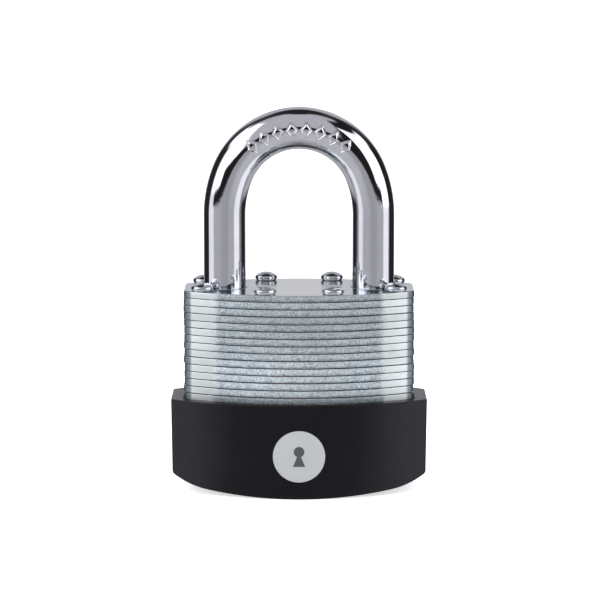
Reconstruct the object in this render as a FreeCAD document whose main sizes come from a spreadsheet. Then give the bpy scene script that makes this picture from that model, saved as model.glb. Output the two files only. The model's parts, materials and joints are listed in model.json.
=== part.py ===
"""Laminated padlock: a riveted stack of steel plates round a pin-tumbler cylinder,
with a hardened round-bar shackle and a moulded base cover. Millimetres; X runs across
the two legs, -Y is the front with the badge, Z is up, and Z = 0 is the lowest line of
the arched base, under the middle of the lock."""

import FreeCAD, Part
import os

import Sketcher

PLATES = 24                      # plates under the top plate, counted from the bottom
CYLINDER_PLATES = range(2, 17)   # these hold the cylinder shell
CLIP_PLATE = 17                  # room for the plug's retaining clip
HEEL_PIN_PLATES = (17, 18)       # these trap the heel retaining pin
CAM_SHAFT_PLATES = (18, 19)
CAM_DISC_PLATES = (20, 21)
BOLT_PLATES = (22, 23)
TOE_PLATES = range(18, PLATES + 1)
PIN_STACKS = 5

SIZES = [
    ("body_width", 50.0, "plates, across the legs"),
    ("body_depth", 27.34, "plates, front to back at the middle"),
    ("end_width", 12.3, "flat end of a plate, front to back"),
    ("corner_radius", 2.4, "plate corners between an end and a curved face"),
    ("edge_break", 0.2, "bevel round the rim of every plate"),
    ("plate_thickness", 1.6, "one plate of the stack"),
    ("top_plate_thickness", 1.5, "the finished plate on top"),
    ("cover_floor", 4.4, "underside of the stack above the lowest line of the base"),
    ("bar_diameter", 9.2, "shackle bar"),
    ("leg_wall", 4.2, "plate left outside each leg"),
    ("leg_clearance", 0.15, "gap round a leg in its bore"),
    ("bow_clearance", 30.2, "top plate to the inside of the bow's crown"),
    ("shoulder_radius", 24.5, "bend of the bow between its crown and a leg"),
    ("shoulder_angle", 22.0, "degrees turned by each shoulder bend"),
    ("toe_insertion", 11.5, "length of the toe leg inside the body when shut"),
    ("return_spring_length", 8.0, "spring under the heel leg when shut"),
    ("return_spring_diameter", 8.0, "outside of that spring"),
    ("return_spring_wire", 1.0, "wire of that spring"),
    ("foot_height", 3.4, "foot left under the heel leg's neck"),
    ("neck_diameter", 6.2, "turned neck of the heel leg"),
    ("neck_margin", 0.5, "neck above the retaining pin when shut"),
    ("leg_chamfer", 0.8, "bevel on both ends of the bar"),
    ("heel_pin_diameter", 3.0, "retaining pin beside the neck"),
    ("heel_pin_length", 9.0, "retaining pin, front to back"),
    ("seat_gap", 0.1, "ends and sides of loose pieces in their pockets"),
    ("run_gap", 0.05, "round pieces that turn or slide in a bore, on the radius"),
    ("step_gap", 0.2, "moving piece to the wall it stops short of"),
    ("rivet_diameter", 3.0, "rivet shank"),
    ("rivet_head_diameter", 4.95, "domed rivet head"),
    ("rivet_head_height", 1.9, "dome above the top plate"),
    ("rivet_head_rim", 0.5, "upright edge of the dome"),
    ("rivet_tail", 0.35, "depth of the countersunk tail"),
    ("inner_rivet_x", 7.3, "inner rivets from the middle"),
    ("rivet_end_inset", 4.1, "outer rivets from the ends of the plates"),
    ("rivet_face_inset", 2.2, "rivets from the curved faces"),
    ("cover_end_wall", 2.86, "cover outside an end of the plates, at its rim"),
    ("cover_face_wall", 1.37, "cover outside a curved face, at its rim"),
    ("cover_end_step", 0.37, "cover's flat end beyond the plates' flat end, each side"),
    ("cover_height", 20.57, "rim of the cover above the lowest line"),
    ("cover_draft", 0.22, "cover narrows by this on every side from rim to base"),
    ("cover_gap", 0.1, "plates to the inside of the cover"),
    ("arch_radius", 150.0, "shallow arch of the underside"),
    ("arch_end_radius", 18.5, "tighter curve of the underside near each end"),
    ("arch_end_width", 7.8, "width of that tighter curve"),
    ("key_opening", 13.0, "hole in the cover's floor under the plug"),
    ("badge_diameter", 11.3, "round badge on the front"),
    ("badge_height", 9.5, "middle of the badge above the lowest line"),
    ("badge_recess", 0.4, "depth of the badge's seat"),
    ("badge_proud", 0.08, "badge above the cover's face"),
    ("shell_diameter", 14.0, "round part of the cylinder shell"),
    ("bible_width", 6.4, "upright part of the shell that holds the driver pins"),
    ("bible_wall", 2.07, "plate left behind that part at the middle"),
    ("cap_depth", 0.8, "chamber cap"),
    ("cap_width", 3.4, "chamber cap, side to side"),
    ("cap_end_margin", 2.0, "chamber cap beyond the first and last pin"),
    ("plug_diameter", 9.6, "plug"),
    ("plug_head_diameter", 11.0, "plug head that stops against the shell"),
    ("keyway_width", 2.2, "keyway slot"),
    ("keyway_low", 4.0, "keyway below the plug's axis"),
    ("keyway_high", 1.5, "keyway above the plug's axis"),
    ("keyway_ward", 0.4, "side step of the lower half of the keyway"),
    ("pin_diameter", 2.6, "tumbler pins"),
    ("pin_pitch", 4.0, "tumbler pins along the plug"),
    ("first_pin", 3.5, "first pin from the shell's lower end"),
    ("chamber_floor", 0.5, "bottom of the plug's chambers below its axis"),
    ("pin_point", 0.7, "cone on the tip of a key pin"),
    ("pin_spring_room", 2.425, "driver pin to the chamber cap"),
    ("pin_spring_diameter", 2.2, "outside of the pin springs"),
    ("pin_spring_wire", 0.3, "wire of the pin springs"),
    ("clip_thickness", 0.8, "retaining clip on the plug"),
    ("clip_diameter", 11.2, "outside of that clip"),
    ("clip_groove", 8.1, "diameter of the plug in the clip's groove"),
    ("clip_mouth", 5.0, "opening of that clip"),
    ("tongue_length", 6.0, "plug tongue that drives the cam, across"),
    ("tongue_width", 2.0, "plug tongue, thickness"),
    ("tongue_height", 2.5, "plug tongue above the plug"),
    ("cam_shaft_diameter", 7.0, "cam shaft"),
    ("cam_pin_offset", 3.0, "cam pins from the axis along X and along Y"),
    ("cam_pin_diameter", 2.4, "cam pins"),
    ("cam_rim", 0.75, "cam disc outside its pins"),
    ("bolt_engagement", 1.6, "bolt nose inside the leg's notch"),
    ("bolt_notch_gap", 0.15, "notch round the bolt nose"),
    ("bolt_nose_out", 2.4, "wide side of the nose from the middle plane"),
    ("bolt_nose_in", 1.1, "narrow side of the nose from the middle plane"),
    ("bolt_arm_width", 7.0, "outer edge of the arm from the middle plane"),
    ("bolt_arm_low", 1.4, "inner edge of the arm from the middle plane"),
    ("bolt_arm_reach", 9.0, "outer end of the arm from the axis"),
    ("bolt_finger", 1.2, "finger beyond the cam pin's slot"),
]
KEY_PIN_LENGTHS = (3.0, 3.8, 2.6, 4.2, 3.4)
SIZES += [
    ("key_pin_%d_length" % (i + 1), length, "key pin %d" % (i + 1))
    for i, length in enumerate(KEY_PIN_LENGTHS)
]


def level(plate):
    """Height of a plate's upper face, as an expression; plate 0 gives the stack's underside."""
    return "(sizes.cover_floor + %d * sizes.plate_thickness)" % plate


PLACES = [
    ("stack_top", level(PLATES), "under the top plate"),
    ("body_top", "places.stack_top + sizes.top_plate_thickness", "upper face of the top plate"),
    ("leg_x", "sizes.body_width / 2 - sizes.leg_wall - sizes.bar_diameter / 2", "axis of a leg"),
    ("leg_bore", "sizes.bar_diameter / 2 + sizes.leg_clearance", "radius of a leg's bore"),
    ("face_drop", "(sizes.body_depth - sizes.end_width) / 2", "bulge of a curved face"),
    ("face_radius", "((sizes.body_width / 2) ^ 2 + places.face_drop ^ 2) / (2 * places.face_drop)",
     "curved front and back of the plates"),
    ("face_centre", "places.face_radius - sizes.body_depth / 2", "centre of that curve from the axis"),
    ("inner_rivet_y", "sqrt((places.face_radius - sizes.rivet_face_inset) ^ 2 - sizes.inner_rivet_x ^ 2)"
     " - places.face_centre", "inner rivets from the middle plane"),
    ("outer_rivet_x", "sizes.body_width / 2 - sizes.rivet_end_inset", "outer rivets from the middle"),
    ("outer_rivet_y", "sqrt((places.face_radius - sizes.rivet_face_inset) ^ 2 - places.outer_rivet_x ^ 2)"
     " - places.face_centre", "outer rivets from the middle plane"),
    ("side_offset", "sizes.shoulder_radius - places.leg_x", "shoulder bend's centre past the middle"),
    ("crown_radius", "sizes.shoulder_radius - places.side_offset / cos(sizes.shoulder_angle * 1 deg)",
     "bend of the crown"),
    ("bow_top", "places.body_top + sizes.bow_clearance + sizes.bar_diameter / 2",
     "bar's centre line at the crown"),
    ("bow_start", "places.bow_top - places.crown_radius"
     " - places.side_offset * tan(sizes.shoulder_angle * 1 deg)", "upper end of the straight legs"),
    ("shoulder_x", "sizes.shoulder_radius * cos(sizes.shoulder_angle * 1 deg) - places.side_offset",
     "where a shoulder meets the crown, from the middle"),
    ("shoulder_rise", "sizes.shoulder_radius * sin(sizes.shoulder_angle * 1 deg)",
     "where a shoulder meets the crown, above the straight legs"),
    ("toe_bottom", "places.body_top - sizes.toe_insertion", "lower end of the toe leg"),
    ("heel_bottom", level(1) + " + sizes.return_spring_length", "lower end of the heel leg"),
    ("foot_top", "places.heel_bottom + sizes.foot_height", "lower end of the neck"),
    ("heel_pin_z", level(HEEL_PIN_PLATES[0]), "axis of the retaining pin"),
    ("heel_pin_x", "places.leg_x - sizes.neck_diameter / 2 - sizes.bolt_notch_gap"
     " - sizes.heel_pin_diameter / 2", "retaining pin from the middle"),
    ("neck_top", "places.heel_pin_z + sizes.heel_pin_diameter / 2 + sizes.neck_margin",
     "upper end of the neck"),
    ("lift", "places.heel_pin_z - sizes.heel_pin_diameter / 2 - sizes.step_gap - places.foot_top",
     "rise of the shackle until its foot meets the pin"),
    ("bolt_travel", "2 * sizes.cam_pin_offset", "stroke of a bolt for a quarter turn of the cam"),
    ("bolt_low", level(BOLT_PLATES[0] - 1) + " + sizes.seat_gap", "underside of the bolts"),
    ("bolt_thickness", "2 * sizes.plate_thickness - 2 * sizes.seat_gap", "bolts, up and down"),
    ("bolt_tip", "places.leg_x - sizes.bar_diameter / 2 + sizes.bolt_engagement", "tip of the nose"),
    ("notch_depth", "sizes.bolt_engagement + sizes.bolt_notch_gap", "notch in a leg"),
    ("notch_low", "places.bolt_low - sizes.bolt_notch_gap", "foot of the notch"),
    ("notch_high", "places.bolt_low + places.bolt_thickness + sizes.bolt_notch_gap", "top of the notch"),
    ("ramp_low", "places.notch_low - places.notch_depth * places.lift / places.bolt_travel",
     "foot of the ramp that pushes the bolt back"),
    ("cam_pin_radius", "sizes.cam_pin_offset * sqrt(2)", "cam pins from the axis"),
    ("cam_disc", "places.cam_pin_radius + sizes.cam_pin_diameter / 2 + sizes.cam_rim", "radius of the disc"),
    ("slot_half", "sizes.cam_pin_diameter / 2 + sizes.step_gap", "half of a bolt's slot"),
    ("slot_end", "places.cam_pin_radius + places.slot_half", "closed end of that slot"),
    ("nose_root", "places.bolt_travel + sizes.step_gap + sizes.seat_gap", "inner end of the nose"),
    ("plug_low", "sizes.cover_floor + sizes.seat_gap", "face of the plug"),
    ("plug_top", level(CLIP_PLATE - 1) + " + 2 * sizes.seat_gap + sizes.clip_thickness"
     " + sizes.seat_gap", "upper end of the plug, under its tongue"),
    ("plug_bore", "sizes.plug_diameter / 2 + sizes.run_gap", "radius of the plug's bore"),
    ("chamber", "sizes.pin_diameter / 2 + sizes.run_gap", "radius of a pin chamber"),
    ("shear_in", "sqrt((sizes.plug_diameter / 2) ^ 2 - (sizes.pin_diameter / 2) ^ 2)",
     "outer end of the key pins"),
    ("shear_out", "places.plug_bore + sizes.run_gap / 2", "inner end of the driver pins"),
    ("bible_reach", "sizes.body_depth / 2 - sizes.bible_wall", "end of the shell's upright part"),
    ("cap_low", "places.bible_reach - sizes.cap_depth", "inner face of the chamber cap"),
    ("driver_end", "places.cap_low - sizes.pin_spring_room", "outer end of the driver pins"),
    ("driver_length", "places.driver_end - places.shear_out", "driver pins"),
    ("cover_face", "sizes.body_depth / 2 + sizes.cover_face_wall"
     " - sizes.cover_draft * (1 - sizes.badge_height / sizes.cover_height)",
     "front of the cover at the badge's height"),
    ("cover_bulge", "sizes.cover_face_wall + places.face_drop - sizes.cover_end_step",
     "bulge of the cover's faces"),
    ("cover_radius", "((sizes.body_width / 2 + sizes.cover_end_wall) ^ 2 + places.cover_bulge ^ 2)"
     " / (2 * places.cover_bulge)", "curved front of the cover"),
    ("arch_end_x", "sizes.body_width / 2 + sizes.cover_end_wall - sizes.arch_end_width",
     "where the shallow arch ends"),
    ("arch_end_z", "sizes.arch_radius - sqrt(sizes.arch_radius ^ 2 - places.arch_end_x ^ 2)",
     "height of the arch there"),
    ("end_curve_x", "places.arch_end_x * (1 - sizes.arch_end_radius / sizes.arch_radius)",
     "centre of the tighter curve"),
    ("end_curve_z", "places.arch_end_z + sqrt(sizes.arch_end_radius ^ 2"
     " - (places.arch_end_x - places.end_curve_x) ^ 2)", "centre of the tighter curve, height"),
]

doc = FreeCAD.newDocument("padlock")
sizes = doc.addObject("Spreadsheet::Sheet", "sizes")
places = doc.addObject("Spreadsheet::Sheet", "places")


# ---- sheets, expressions and placements

def fill(sheet, rows, sign):
    """One row per value: its name, its number or formula, and what it is."""
    for row, (alias, content, note) in enumerate(rows, 1):
        sheet.set("A%d" % row, alias)
        sheet.set("B%d" % row, sign + str(content))
        sheet.set("C%d" % row, note)
        sheet.setAlias("B%d" % row, alias)
        if sign:
            doc.recompute()


def number(expression):
    """The number that an expression gives now."""
    return float(sizes.evalExpression(str(expression)))


def bind(thing, **expressions):
    """Tie properties of an object to expressions."""
    for name, expression in expressions.items():
        thing.setExpression(name, str(expression))


def put(thing, x="0", y="0", z="0"):
    """Tie an object's place to expressions."""
    for axis, expression in (("x", x), ("y", y), ("z", z)):
        thing.setExpression("Placement.Base." + axis, str(expression))
    return thing


def turned(thing, axis, angle):
    """Turn an object about an axis through its own origin."""
    thing.Placement.Rotation = FreeCAD.Rotation(FreeCAD.Vector(*axis), angle)
    return thing


# ---- sketches

def fix_point(sketch, edge, end, x, y):
    """Hold one end or centre of a sketch edge at the place that two expressions give."""
    for kind, axis, expression in (("DistanceX", -2, x), ("DistanceY", -1, y)):
        value = number(expression)
        if abs(value) < 1e-9:
            sketch.addConstraint(Sketcher.Constraint("PointOnObject", edge, end, axis))
        elif value > 0:
            index = sketch.addConstraint(Sketcher.Constraint(kind, -1, 1, edge, end, value))
            sketch.setExpression("Constraints[%d]" % index, str(expression))
        else:
            index = sketch.addConstraint(Sketcher.Constraint(kind, edge, end, -1, 1, -value))
            sketch.setExpression("Constraints[%d]" % index, "-(%s)" % expression)


def circle(sketch, radius, x="0", y="0"):
    """A circle whose centre and radius follow expressions."""
    centre = FreeCAD.Vector(number(x), number(y), 0)
    edge = sketch.addGeometry(Part.Circle(centre, FreeCAD.Vector(0, 0, 1), number(radius)))
    index = sketch.addConstraint(Sketcher.Constraint("Radius", edge, number(radius)))
    sketch.setExpression("Constraints[%d]" % index, str(radius))
    fix_point(sketch, edge, 3, x, y)


def arc_between(start, finish, radius, left):
    """The shorter arc of a radius from start to finish, bulging to the right of that way,
    or to the left."""
    chord = finish - start
    half = chord.Length / 2
    sideways = FreeCAD.Vector(-chord.y, chord.x, 0).normalize()
    reach = max(radius ** 2 - half ** 2, 0) ** 0.5
    centre = (start + finish) / 2 + sideways * (-reach if left else reach)
    middle = centre + sideways * (radius if left else -radius)
    return Part.Arc(start, middle, finish)


def outline(sketch, corners, arcs=None, closed=True):
    """Join corners, given as pairs of expressions, by lines, or by arcs where arcs gives
    an edge's number a (radius expression, bulges to the left) pair."""
    arcs = arcs or {}
    points = [FreeCAD.Vector(number(x), number(y), 0) for x, y in corners]
    count = len(points) if closed else len(points) - 1
    joints = []
    for i in range(count):
        start, finish = points[i], points[(i + 1) % len(points)]
        if i in arcs:
            radius, left = arcs[i]
            edge = sketch.addGeometry(arc_between(start, finish, number(radius), left))
            index = sketch.addConstraint(Sketcher.Constraint("Radius", edge, number(radius)))
            sketch.setExpression("Constraints[%d]" % index, str(radius))
        else:
            edge = sketch.addGeometry(Part.LineSegment(start, finish))
        first = 1 if sketch.getPoint(edge, 1).distanceToPoint(start) < 1e-6 else 2
        joints.append((edge, first, 3 - first))
    for i, (edge, first, last) in enumerate(joints):
        fix_point(sketch, edge, first, *corners[i])
        if closed or i + 1 < count:
            follower = joints[(i + 1) % count]
            sketch.addConstraint(Sketcher.Constraint("Coincident", edge, last, *follower[:2]))
        else:
            fix_point(sketch, edge, last, *corners[i + 1])


def lens(sketch, half_width, half_end, half_depth):
    """Plan of the body: two flat ends joined by two shallow arcs."""
    radius = "((%s) ^ 2 + (%s - (%s)) ^ 2) / (2 * (%s - (%s)))" % (
        half_width, half_depth, half_end, half_depth, half_end)
    corners = [(half_width, "-(%s)" % half_end), (half_width, half_end),
               ("-(%s)" % half_width, half_end), ("-(%s)" % half_width, "-(%s)" % half_end)]
    outline(sketch, corners, {1: (radius, False), 3: (radius, False)})


def rectangle(sketch, x_low, x_high, y_low, y_high):
    """An upright rectangle between expressions."""
    outline(sketch, [(x_low, y_low), (x_high, y_low), (x_high, y_high), (x_low, y_high)])


# ---- PartDesign features

def new_body(label):
    """A PartDesign body for one sub-part."""
    body = doc.addObject("PartDesign::Body", label)
    body.Label = label
    return body


def sketch_on(body, name, role="XY_Plane", height=None):
    """An empty sketch on one of the body's own origin planes, raised by an expression."""
    sketch = body.newObject("Sketcher::SketchObject", name)
    plane = next(item for item in body.Origin.OriginFeatures if item.Role == role)
    sketch.AttachmentSupport = [(plane, "")]
    sketch.MapMode = "FlatFace"
    if height is not None:
        sketch.setExpression("AttachmentOffset.Base.z", str(height))
    return sketch


def pad(body, sketch, length, name="pad", both=False):
    """Raise a sketch into a solid."""
    feature = body.newObject("PartDesign::Pad", name)
    feature.Profile = sketch
    feature.SideType = "Symmetric" if both else "One side"
    bind(feature, Length=length)
    doc.recompute()
    return feature


def pocket(body, sketch, length, name, both=False):
    """Cut a sketch upwards into the solid, or both ways from its plane."""
    before = body.Shape.Volume
    feature = body.newObject("PartDesign::Pocket", name)
    feature.Profile = sketch
    feature.SideType = "Symmetric" if both else "One side"
    feature.Reversed = not both
    bind(feature, Length=length)
    doc.recompute()
    if not feature.Shape.Volume < before - 1e-6:
        raise RuntimeError("%s of %s removes nothing" % (name, body.Label))
    return feature


def dress(body, kind, base, names, size, name):
    """A chamfer or fillet on named edges or faces of the feature before it."""
    feature = body.newObject("PartDesign::" + kind, name)
    feature.Base = (base, names)
    bind(feature, **{"Size" if kind == "Chamfer" else "Radius": size})
    doc.recompute()
    return feature


def flat_faces(feature, height):
    """Names of the faces that lie flat at a height in the body's own frame."""
    return ["Face%d" % i for i, face in enumerate(feature.Shape.Faces, 1)
            if face.BoundBox.ZLength < 1e-6 and abs(face.BoundBox.ZMin - height) < 1e-6]


def upright_edges(feature, x):
    """Names of the straight upright edges at a distance either side of the middle."""
    return ["Edge%d" % i for i, edge in enumerate(feature.Shape.Edges, 1)
            if edge.BoundBox.XLength < 1e-6 and edge.BoundBox.YLength < 1e-6
            and abs(abs(edge.BoundBox.XMin) - x) < 1e-6]


def round_edges(feature, height, radius):
    """Names of the full circles of a radius at a height."""
    return ["Edge%d" % i for i, edge in enumerate(feature.Shape.Edges, 1)
            if edge.BoundBox.ZLength < 1e-6 and abs(edge.BoundBox.ZMin - height) < 1e-6
            and isinstance(edge.Curve, Part.Circle) and abs(edge.Curve.Radius - radius) < 1e-6]


# ---- Part primitives and booleans

def cylinder(name, radius, height, x="0", y="0", z="0", along_y=False):
    """An upright cylinder on its lower face, or one that runs along +Y from its face."""
    thing = doc.addObject("Part::Cylinder", name)
    bind(thing, Radius=radius, Height=height)
    if along_y:
        turned(thing, (1, 0, 0), -90)
    return put(thing, x, y, z)


def block(name, x_low, x_high, y_low, y_high, z_low, z_high):
    """A box between expressions."""
    thing = doc.addObject("Part::Box", name)
    bind(thing, Length="%s - (%s)" % (x_high, x_low), Width="%s - (%s)" % (y_high, y_low),
         Height="%s - (%s)" % (z_high, z_low))
    return put(thing, x_low, y_low, z_low)


def fuse(label, things):
    """One solid from several."""
    thing = doc.addObject("Part::MultiFuse", label)
    thing.Shapes = things
    thing.Refine = True
    return thing


def cut(label, base, tools):
    """A solid less its tools."""
    thing = doc.addObject("Part::Cut", label)
    thing.Base = base
    thing.Tool = fuse(label + "_tools", tools) if len(tools) > 1 else tools[0]
    thing.Refine = True
    thing.Label = label
    return thing


# ---- the plate stack

def rivet_places():
    """Expressions for the eight rivet axes."""
    found = []
    for x, y in (("sizes.inner_rivet_x", "places.inner_rivet_y"),
                 ("places.outer_rivet_x", "places.outer_rivet_y")):
        found += [(sx + x, sy + y) for sx in ("", "-") for sy in ("", "-")]
    return found


def plate_blank(body, thickness):
    """Pad, rounded corners and bevelled rim that every plate starts from."""
    plan = sketch_on(body, "plan")
    lens(plan, "sizes.body_width / 2", "sizes.end_width / 2", "sizes.body_depth / 2")
    blank = pad(body, plan, thickness)
    corners = upright_edges(blank, number("sizes.body_width / 2"))
    rounded = dress(body, "Fillet", blank, corners, "sizes.corner_radius", "corners")
    rims = flat_faces(rounded, 0) + flat_faces(rounded, number(thickness))
    dress(body, "Chamfer", rounded, rims, "sizes.edge_break", "rim")
    holes = sketch_on(body, "rivet_holes")
    for x, y in rivet_places():
        circle(holes, "sizes.rivet_diameter / 2 + sizes.run_gap", x, y)
    return pocket(body, holes, thickness, "rivet_bores")


def shell_window(body):
    """Cut-out for the cylinder shell: a round with an upright slot behind it."""
    round_part = sketch_on(body, "shell_plan")
    circle(round_part, "sizes.shell_diameter / 2 + sizes.run_gap")
    pocket(body, round_part, "sizes.plate_thickness", "shell_bore")
    upright = sketch_on(body, "bible_plan")
    half = "(sizes.bible_width / 2 + sizes.run_gap)"
    rectangle(upright, "-" + half, half, "0", "places.bible_reach + sizes.run_gap")
    pocket(body, upright, "sizes.plate_thickness", "bible_slot")


def plate_openings(body, plate):
    """What each level of the stack leaves out for the lock inside."""
    thickness = "sizes.plate_thickness"
    rounds = {1: "sizes.plug_head_diameter / 2 + sizes.seat_gap",
              CLIP_PLATE: "sizes.clip_diameter / 2 + sizes.step_gap"}
    rounds.update({k: "sizes.cam_shaft_diameter / 2 + sizes.seat_gap" for k in CAM_SHAFT_PLATES})
    rounds.update({k: "places.cam_disc + sizes.step_gap" for k in CAM_DISC_PLATES})
    if plate in rounds:
        middle = sketch_on(body, "middle_plan")
        circle(middle, rounds[plate])
        pocket(body, middle, thickness, "middle_bore")
    if plate in CYLINDER_PLATES:
        shell_window(body)
    if plate in BOLT_PLATES:
        bolts = sketch_on(body, "bolt_plan")
        side = "(sizes.bolt_arm_width + sizes.step_gap)"
        reach = "(sizes.bolt_arm_reach + sizes.step_gap)"
        rectangle(bolts, "-" + reach, reach, "-" + side, side)
        pocket(body, bolts, thickness, "bolt_room")
        channel = sketch_on(body, "channel_plan")
        half = "(sizes.bolt_nose_out + sizes.step_gap)"
        rectangle(channel, "-places.leg_x", "places.leg_x", "-" + half, half)
        pocket(body, channel, thickness, "bolt_channel")
    if plate in HEEL_PIN_PLATES:
        pin = sketch_on(body, "heel_pin_plan")
        half = "(sizes.heel_pin_diameter / 2 + sizes.run_gap)"
        rectangle(pin, "-places.heel_pin_x - " + half, "-places.heel_pin_x + " + half,
                  "-sizes.heel_pin_length / 2 - sizes.run_gap", "sizes.heel_pin_length / 2 + sizes.run_gap")
        pocket(body, pin, thickness, "heel_pin_slot")
    legs = ["-places.leg_x"] * (plate > 1) + ["places.leg_x"] * (plate in TOE_PLATES)
    if legs:
        bores = sketch_on(body, "leg_plan")
        for x in legs:
            circle(bores, "places.leg_bore", x)
        pocket(body, bores, thickness, "leg_bores")


def make_plate(plate):
    """One plate of the stack; plate 1 is the lowest and has the rivets' countersinks."""
    body = new_body("plate_%02d" % plate)
    put(body, z=level(plate - 1))
    drilled = plate_blank(body, "sizes.plate_thickness")
    if plate == 1:
        mouths = round_edges(drilled, 0, number("sizes.rivet_diameter / 2 + sizes.run_gap"))
        dress(body, "Chamfer", drilled, mouths, "sizes.rivet_tail", "countersinks")
    plate_openings(body, plate)
    return body


def make_top_plate():
    """The finished plate on top, with both leg holes."""
    body = new_body("top_plate")
    put(body, z="places.stack_top")
    plate_blank(body, "sizes.top_plate_thickness")
    bores = sketch_on(body, "leg_plan")
    for x in ("-places.leg_x", "places.leg_x"):
        circle(bores, "places.leg_bore", x)
    pocket(body, bores, "sizes.top_plate_thickness", "leg_bores")
    return body


def make_rivets():
    """Eight rivets: flush countersunk tails below, domes on the top plate."""
    profile = doc.addObject("Sketcher::SketchObject", "rivet_profile")
    turned(profile, (1, 0, 0), 90)
    shank = "sizes.rivet_diameter / 2"
    head = "sizes.rivet_head_diameter / 2"
    rise = "(sizes.rivet_head_height - sizes.rivet_head_rim)"
    dome = "((%s) ^ 2 + %s ^ 2) / (2 * %s)" % (head, rise, rise)
    top = "places.body_top"
    corners = [("0", "sizes.cover_floor"), (shank + " + sizes.rivet_tail", "sizes.cover_floor"),
               (shank, "sizes.cover_floor + sizes.rivet_tail"), (shank, top), (head, top),
               (head, top + " + sizes.rivet_head_rim"), ("0", top + " + sizes.rivet_head_height")]
    outline(profile, corners, {5: (dome, False)})
    doc.recompute()
    copies = []
    for x, y in rivet_places():
        rivet = doc.addObject("Part::Revolution", "rivet")
        rivet.Source = profile
        rivet.Axis = (0, 0, 1)
        rivet.Angle = 360
        rivet.Solid = True
        copies.append(put(rivet, x, y))
    group = doc.addObject("Part::Compound", "rivets")
    group.Links = copies
    return group


# ---- the shackle and what holds it

def make_shackle():
    """Round bar bent to a bow: long heel leg at -X with a neck and foot, short toe leg
    at +X, and a notch with a ramp in the inner side of each leg."""
    body = new_body("shackle")
    put(body, z="places.heel_bottom")
    above = " - places.heel_bottom"
    start = "places.bow_start" + above
    shoulder = "places.bow_start + places.shoulder_rise" + above
    path = sketch_on(body, "path", "XZ_Plane")
    corners = [("-places.leg_x", "0"), ("-places.leg_x", start), ("-places.shoulder_x", shoulder),
               ("0", "places.bow_top" + above), ("places.shoulder_x", shoulder),
               ("places.leg_x", start), ("places.leg_x", "places.toe_bottom" + above)]
    side = ("sizes.shoulder_radius", True)
    crown = ("places.crown_radius", True)
    outline(path, corners, {1: side, 2: crown, 3: crown, 4: side}, closed=False)
    section = sketch_on(body, "section")
    circle(section, "sizes.bar_diameter / 2", "-places.leg_x")
    bar = body.newObject("PartDesign::AdditivePipe", "bar")
    bar.Profile = section
    bar.Spine = path
    doc.recompute()
    ends = round_edges(bar, 0, number("sizes.bar_diameter / 2"))
    ends += round_edges(bar, number("places.toe_bottom" + above), number("sizes.bar_diameter / 2"))
    dress(body, "Chamfer", bar, ends, "sizes.leg_chamfer", "ends")
    cut_neck(body, above)
    cut_notches(body, above)
    return body


def cut_neck(body, above):
    """Turn the neck above the heel leg's foot."""
    ring = sketch_on(body, "neck_section", "XZ_Plane")
    rectangle(ring, "-places.leg_x - sizes.bar_diameter", "-places.leg_x - sizes.neck_diameter / 2",
              "sizes.foot_height", "places.neck_top" + above)
    axis = ring.addGeometry(Part.LineSegment(FreeCAD.Vector(number("-places.leg_x"), 0, 0),
                                             FreeCAD.Vector(number("-places.leg_x"), 1, 0)), True)
    for end in (1, 2):
        fix_point(ring, axis, end, "-places.leg_x", str(end - 1))
    neck = body.newObject("PartDesign::Groove", "neck")
    neck.Profile = ring
    neck.ReferenceAxis = (ring, ["Axis0"])
    neck.Angle = 360
    doc.recompute()


def cut_notches(body, above):
    """A square notch for the bolt's nose, with the ramp below it, in both legs."""
    inner = "(places.leg_x - sizes.bar_diameter / 2)"
    floor = "(places.leg_x - sizes.bar_diameter / 2 + places.notch_depth)"
    for name, sign in (("toe_notch", ""), ("heel_notch", "-")):
        shape = sketch_on(body, name + "_section", "XZ_Plane")
        outline(shape, [(sign + inner, "places.ramp_low" + above),
                        (sign + floor, "places.notch_low" + above),
                        (sign + floor, "places.notch_high" + above),
                        (sign + "(" + inner + " - sizes.bolt_engagement)", "places.notch_high" + above),
                        (sign + "(" + inner + " - sizes.bolt_engagement)", "places.ramp_low" + above)])
        pocket(body, shape, "2 * sizes.bar_diameter", name, both=True)


def coil(label, outside, wire, length, turns):
    """A round-wire compression spring that stands on the plane at its body's origin."""
    body = new_body(label)
    section = sketch_on(body, "wire_section", "XZ_Plane")
    circle(section, "%s / 2" % wire, "(%s - %s) / 2" % (outside, wire), "%s / 2" % wire)
    helix = body.newObject("PartDesign::AdditiveHelix", "coils")
    helix.Profile = section
    helix.ReferenceAxis = (section, ["V_Axis"])
    helix.Mode = "height-turns-angle"
    helix.Turns = turns
    bind(helix, Height="%s - %s" % (length, wire))
    return body


def make_return_spring():
    """The spring under the heel leg that throws the shackle open."""
    body = coil("shackle_spring", "sizes.return_spring_diameter", "sizes.return_spring_wire",
                "(sizes.return_spring_length - sizes.run_gap)", 5)
    return put(body, "-places.leg_x", "0", level(1))


def make_heel_pin():
    """Cross pin beside the neck: it stops the foot, so that the heel leg stays in."""
    pin = cylinder("heel_pin", "sizes.heel_pin_diameter / 2", "sizes.heel_pin_length",
                   "-places.heel_pin_x", "-sizes.heel_pin_length / 2", "places.heel_pin_z", True)
    return pin


# ---- the cylinder

def pin_height(index):
    """Height of one pin stack's axis."""
    return "(%s + sizes.first_pin + %d * sizes.pin_pitch)" % (level(1), index)


def make_shell():
    """Cylinder shell: plug bore, pin chambers and the slot for their cap."""
    low, high = level(1), level(CLIP_PLATE - 1)
    length = "%s - %s" % (high, low)
    core = fuse("shell_core", [
        cylinder("shell_round", "sizes.shell_diameter / 2", length, z=low),
        block("shell_bible", "-sizes.bible_width / 2", "sizes.bible_width / 2", "0",
              "places.bible_reach", low, high)])
    tools = [cylinder("plug_bore", "places.plug_bore", length, z=low), cap_block("cap_slot")]
    for index in range(PIN_STACKS):
        tools.append(cylinder("shell_chamber", "places.chamber", "places.cap_low", z=pin_height(index),
                              along_y=True))
    return cut("cylinder_shell", core, tools)


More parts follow.
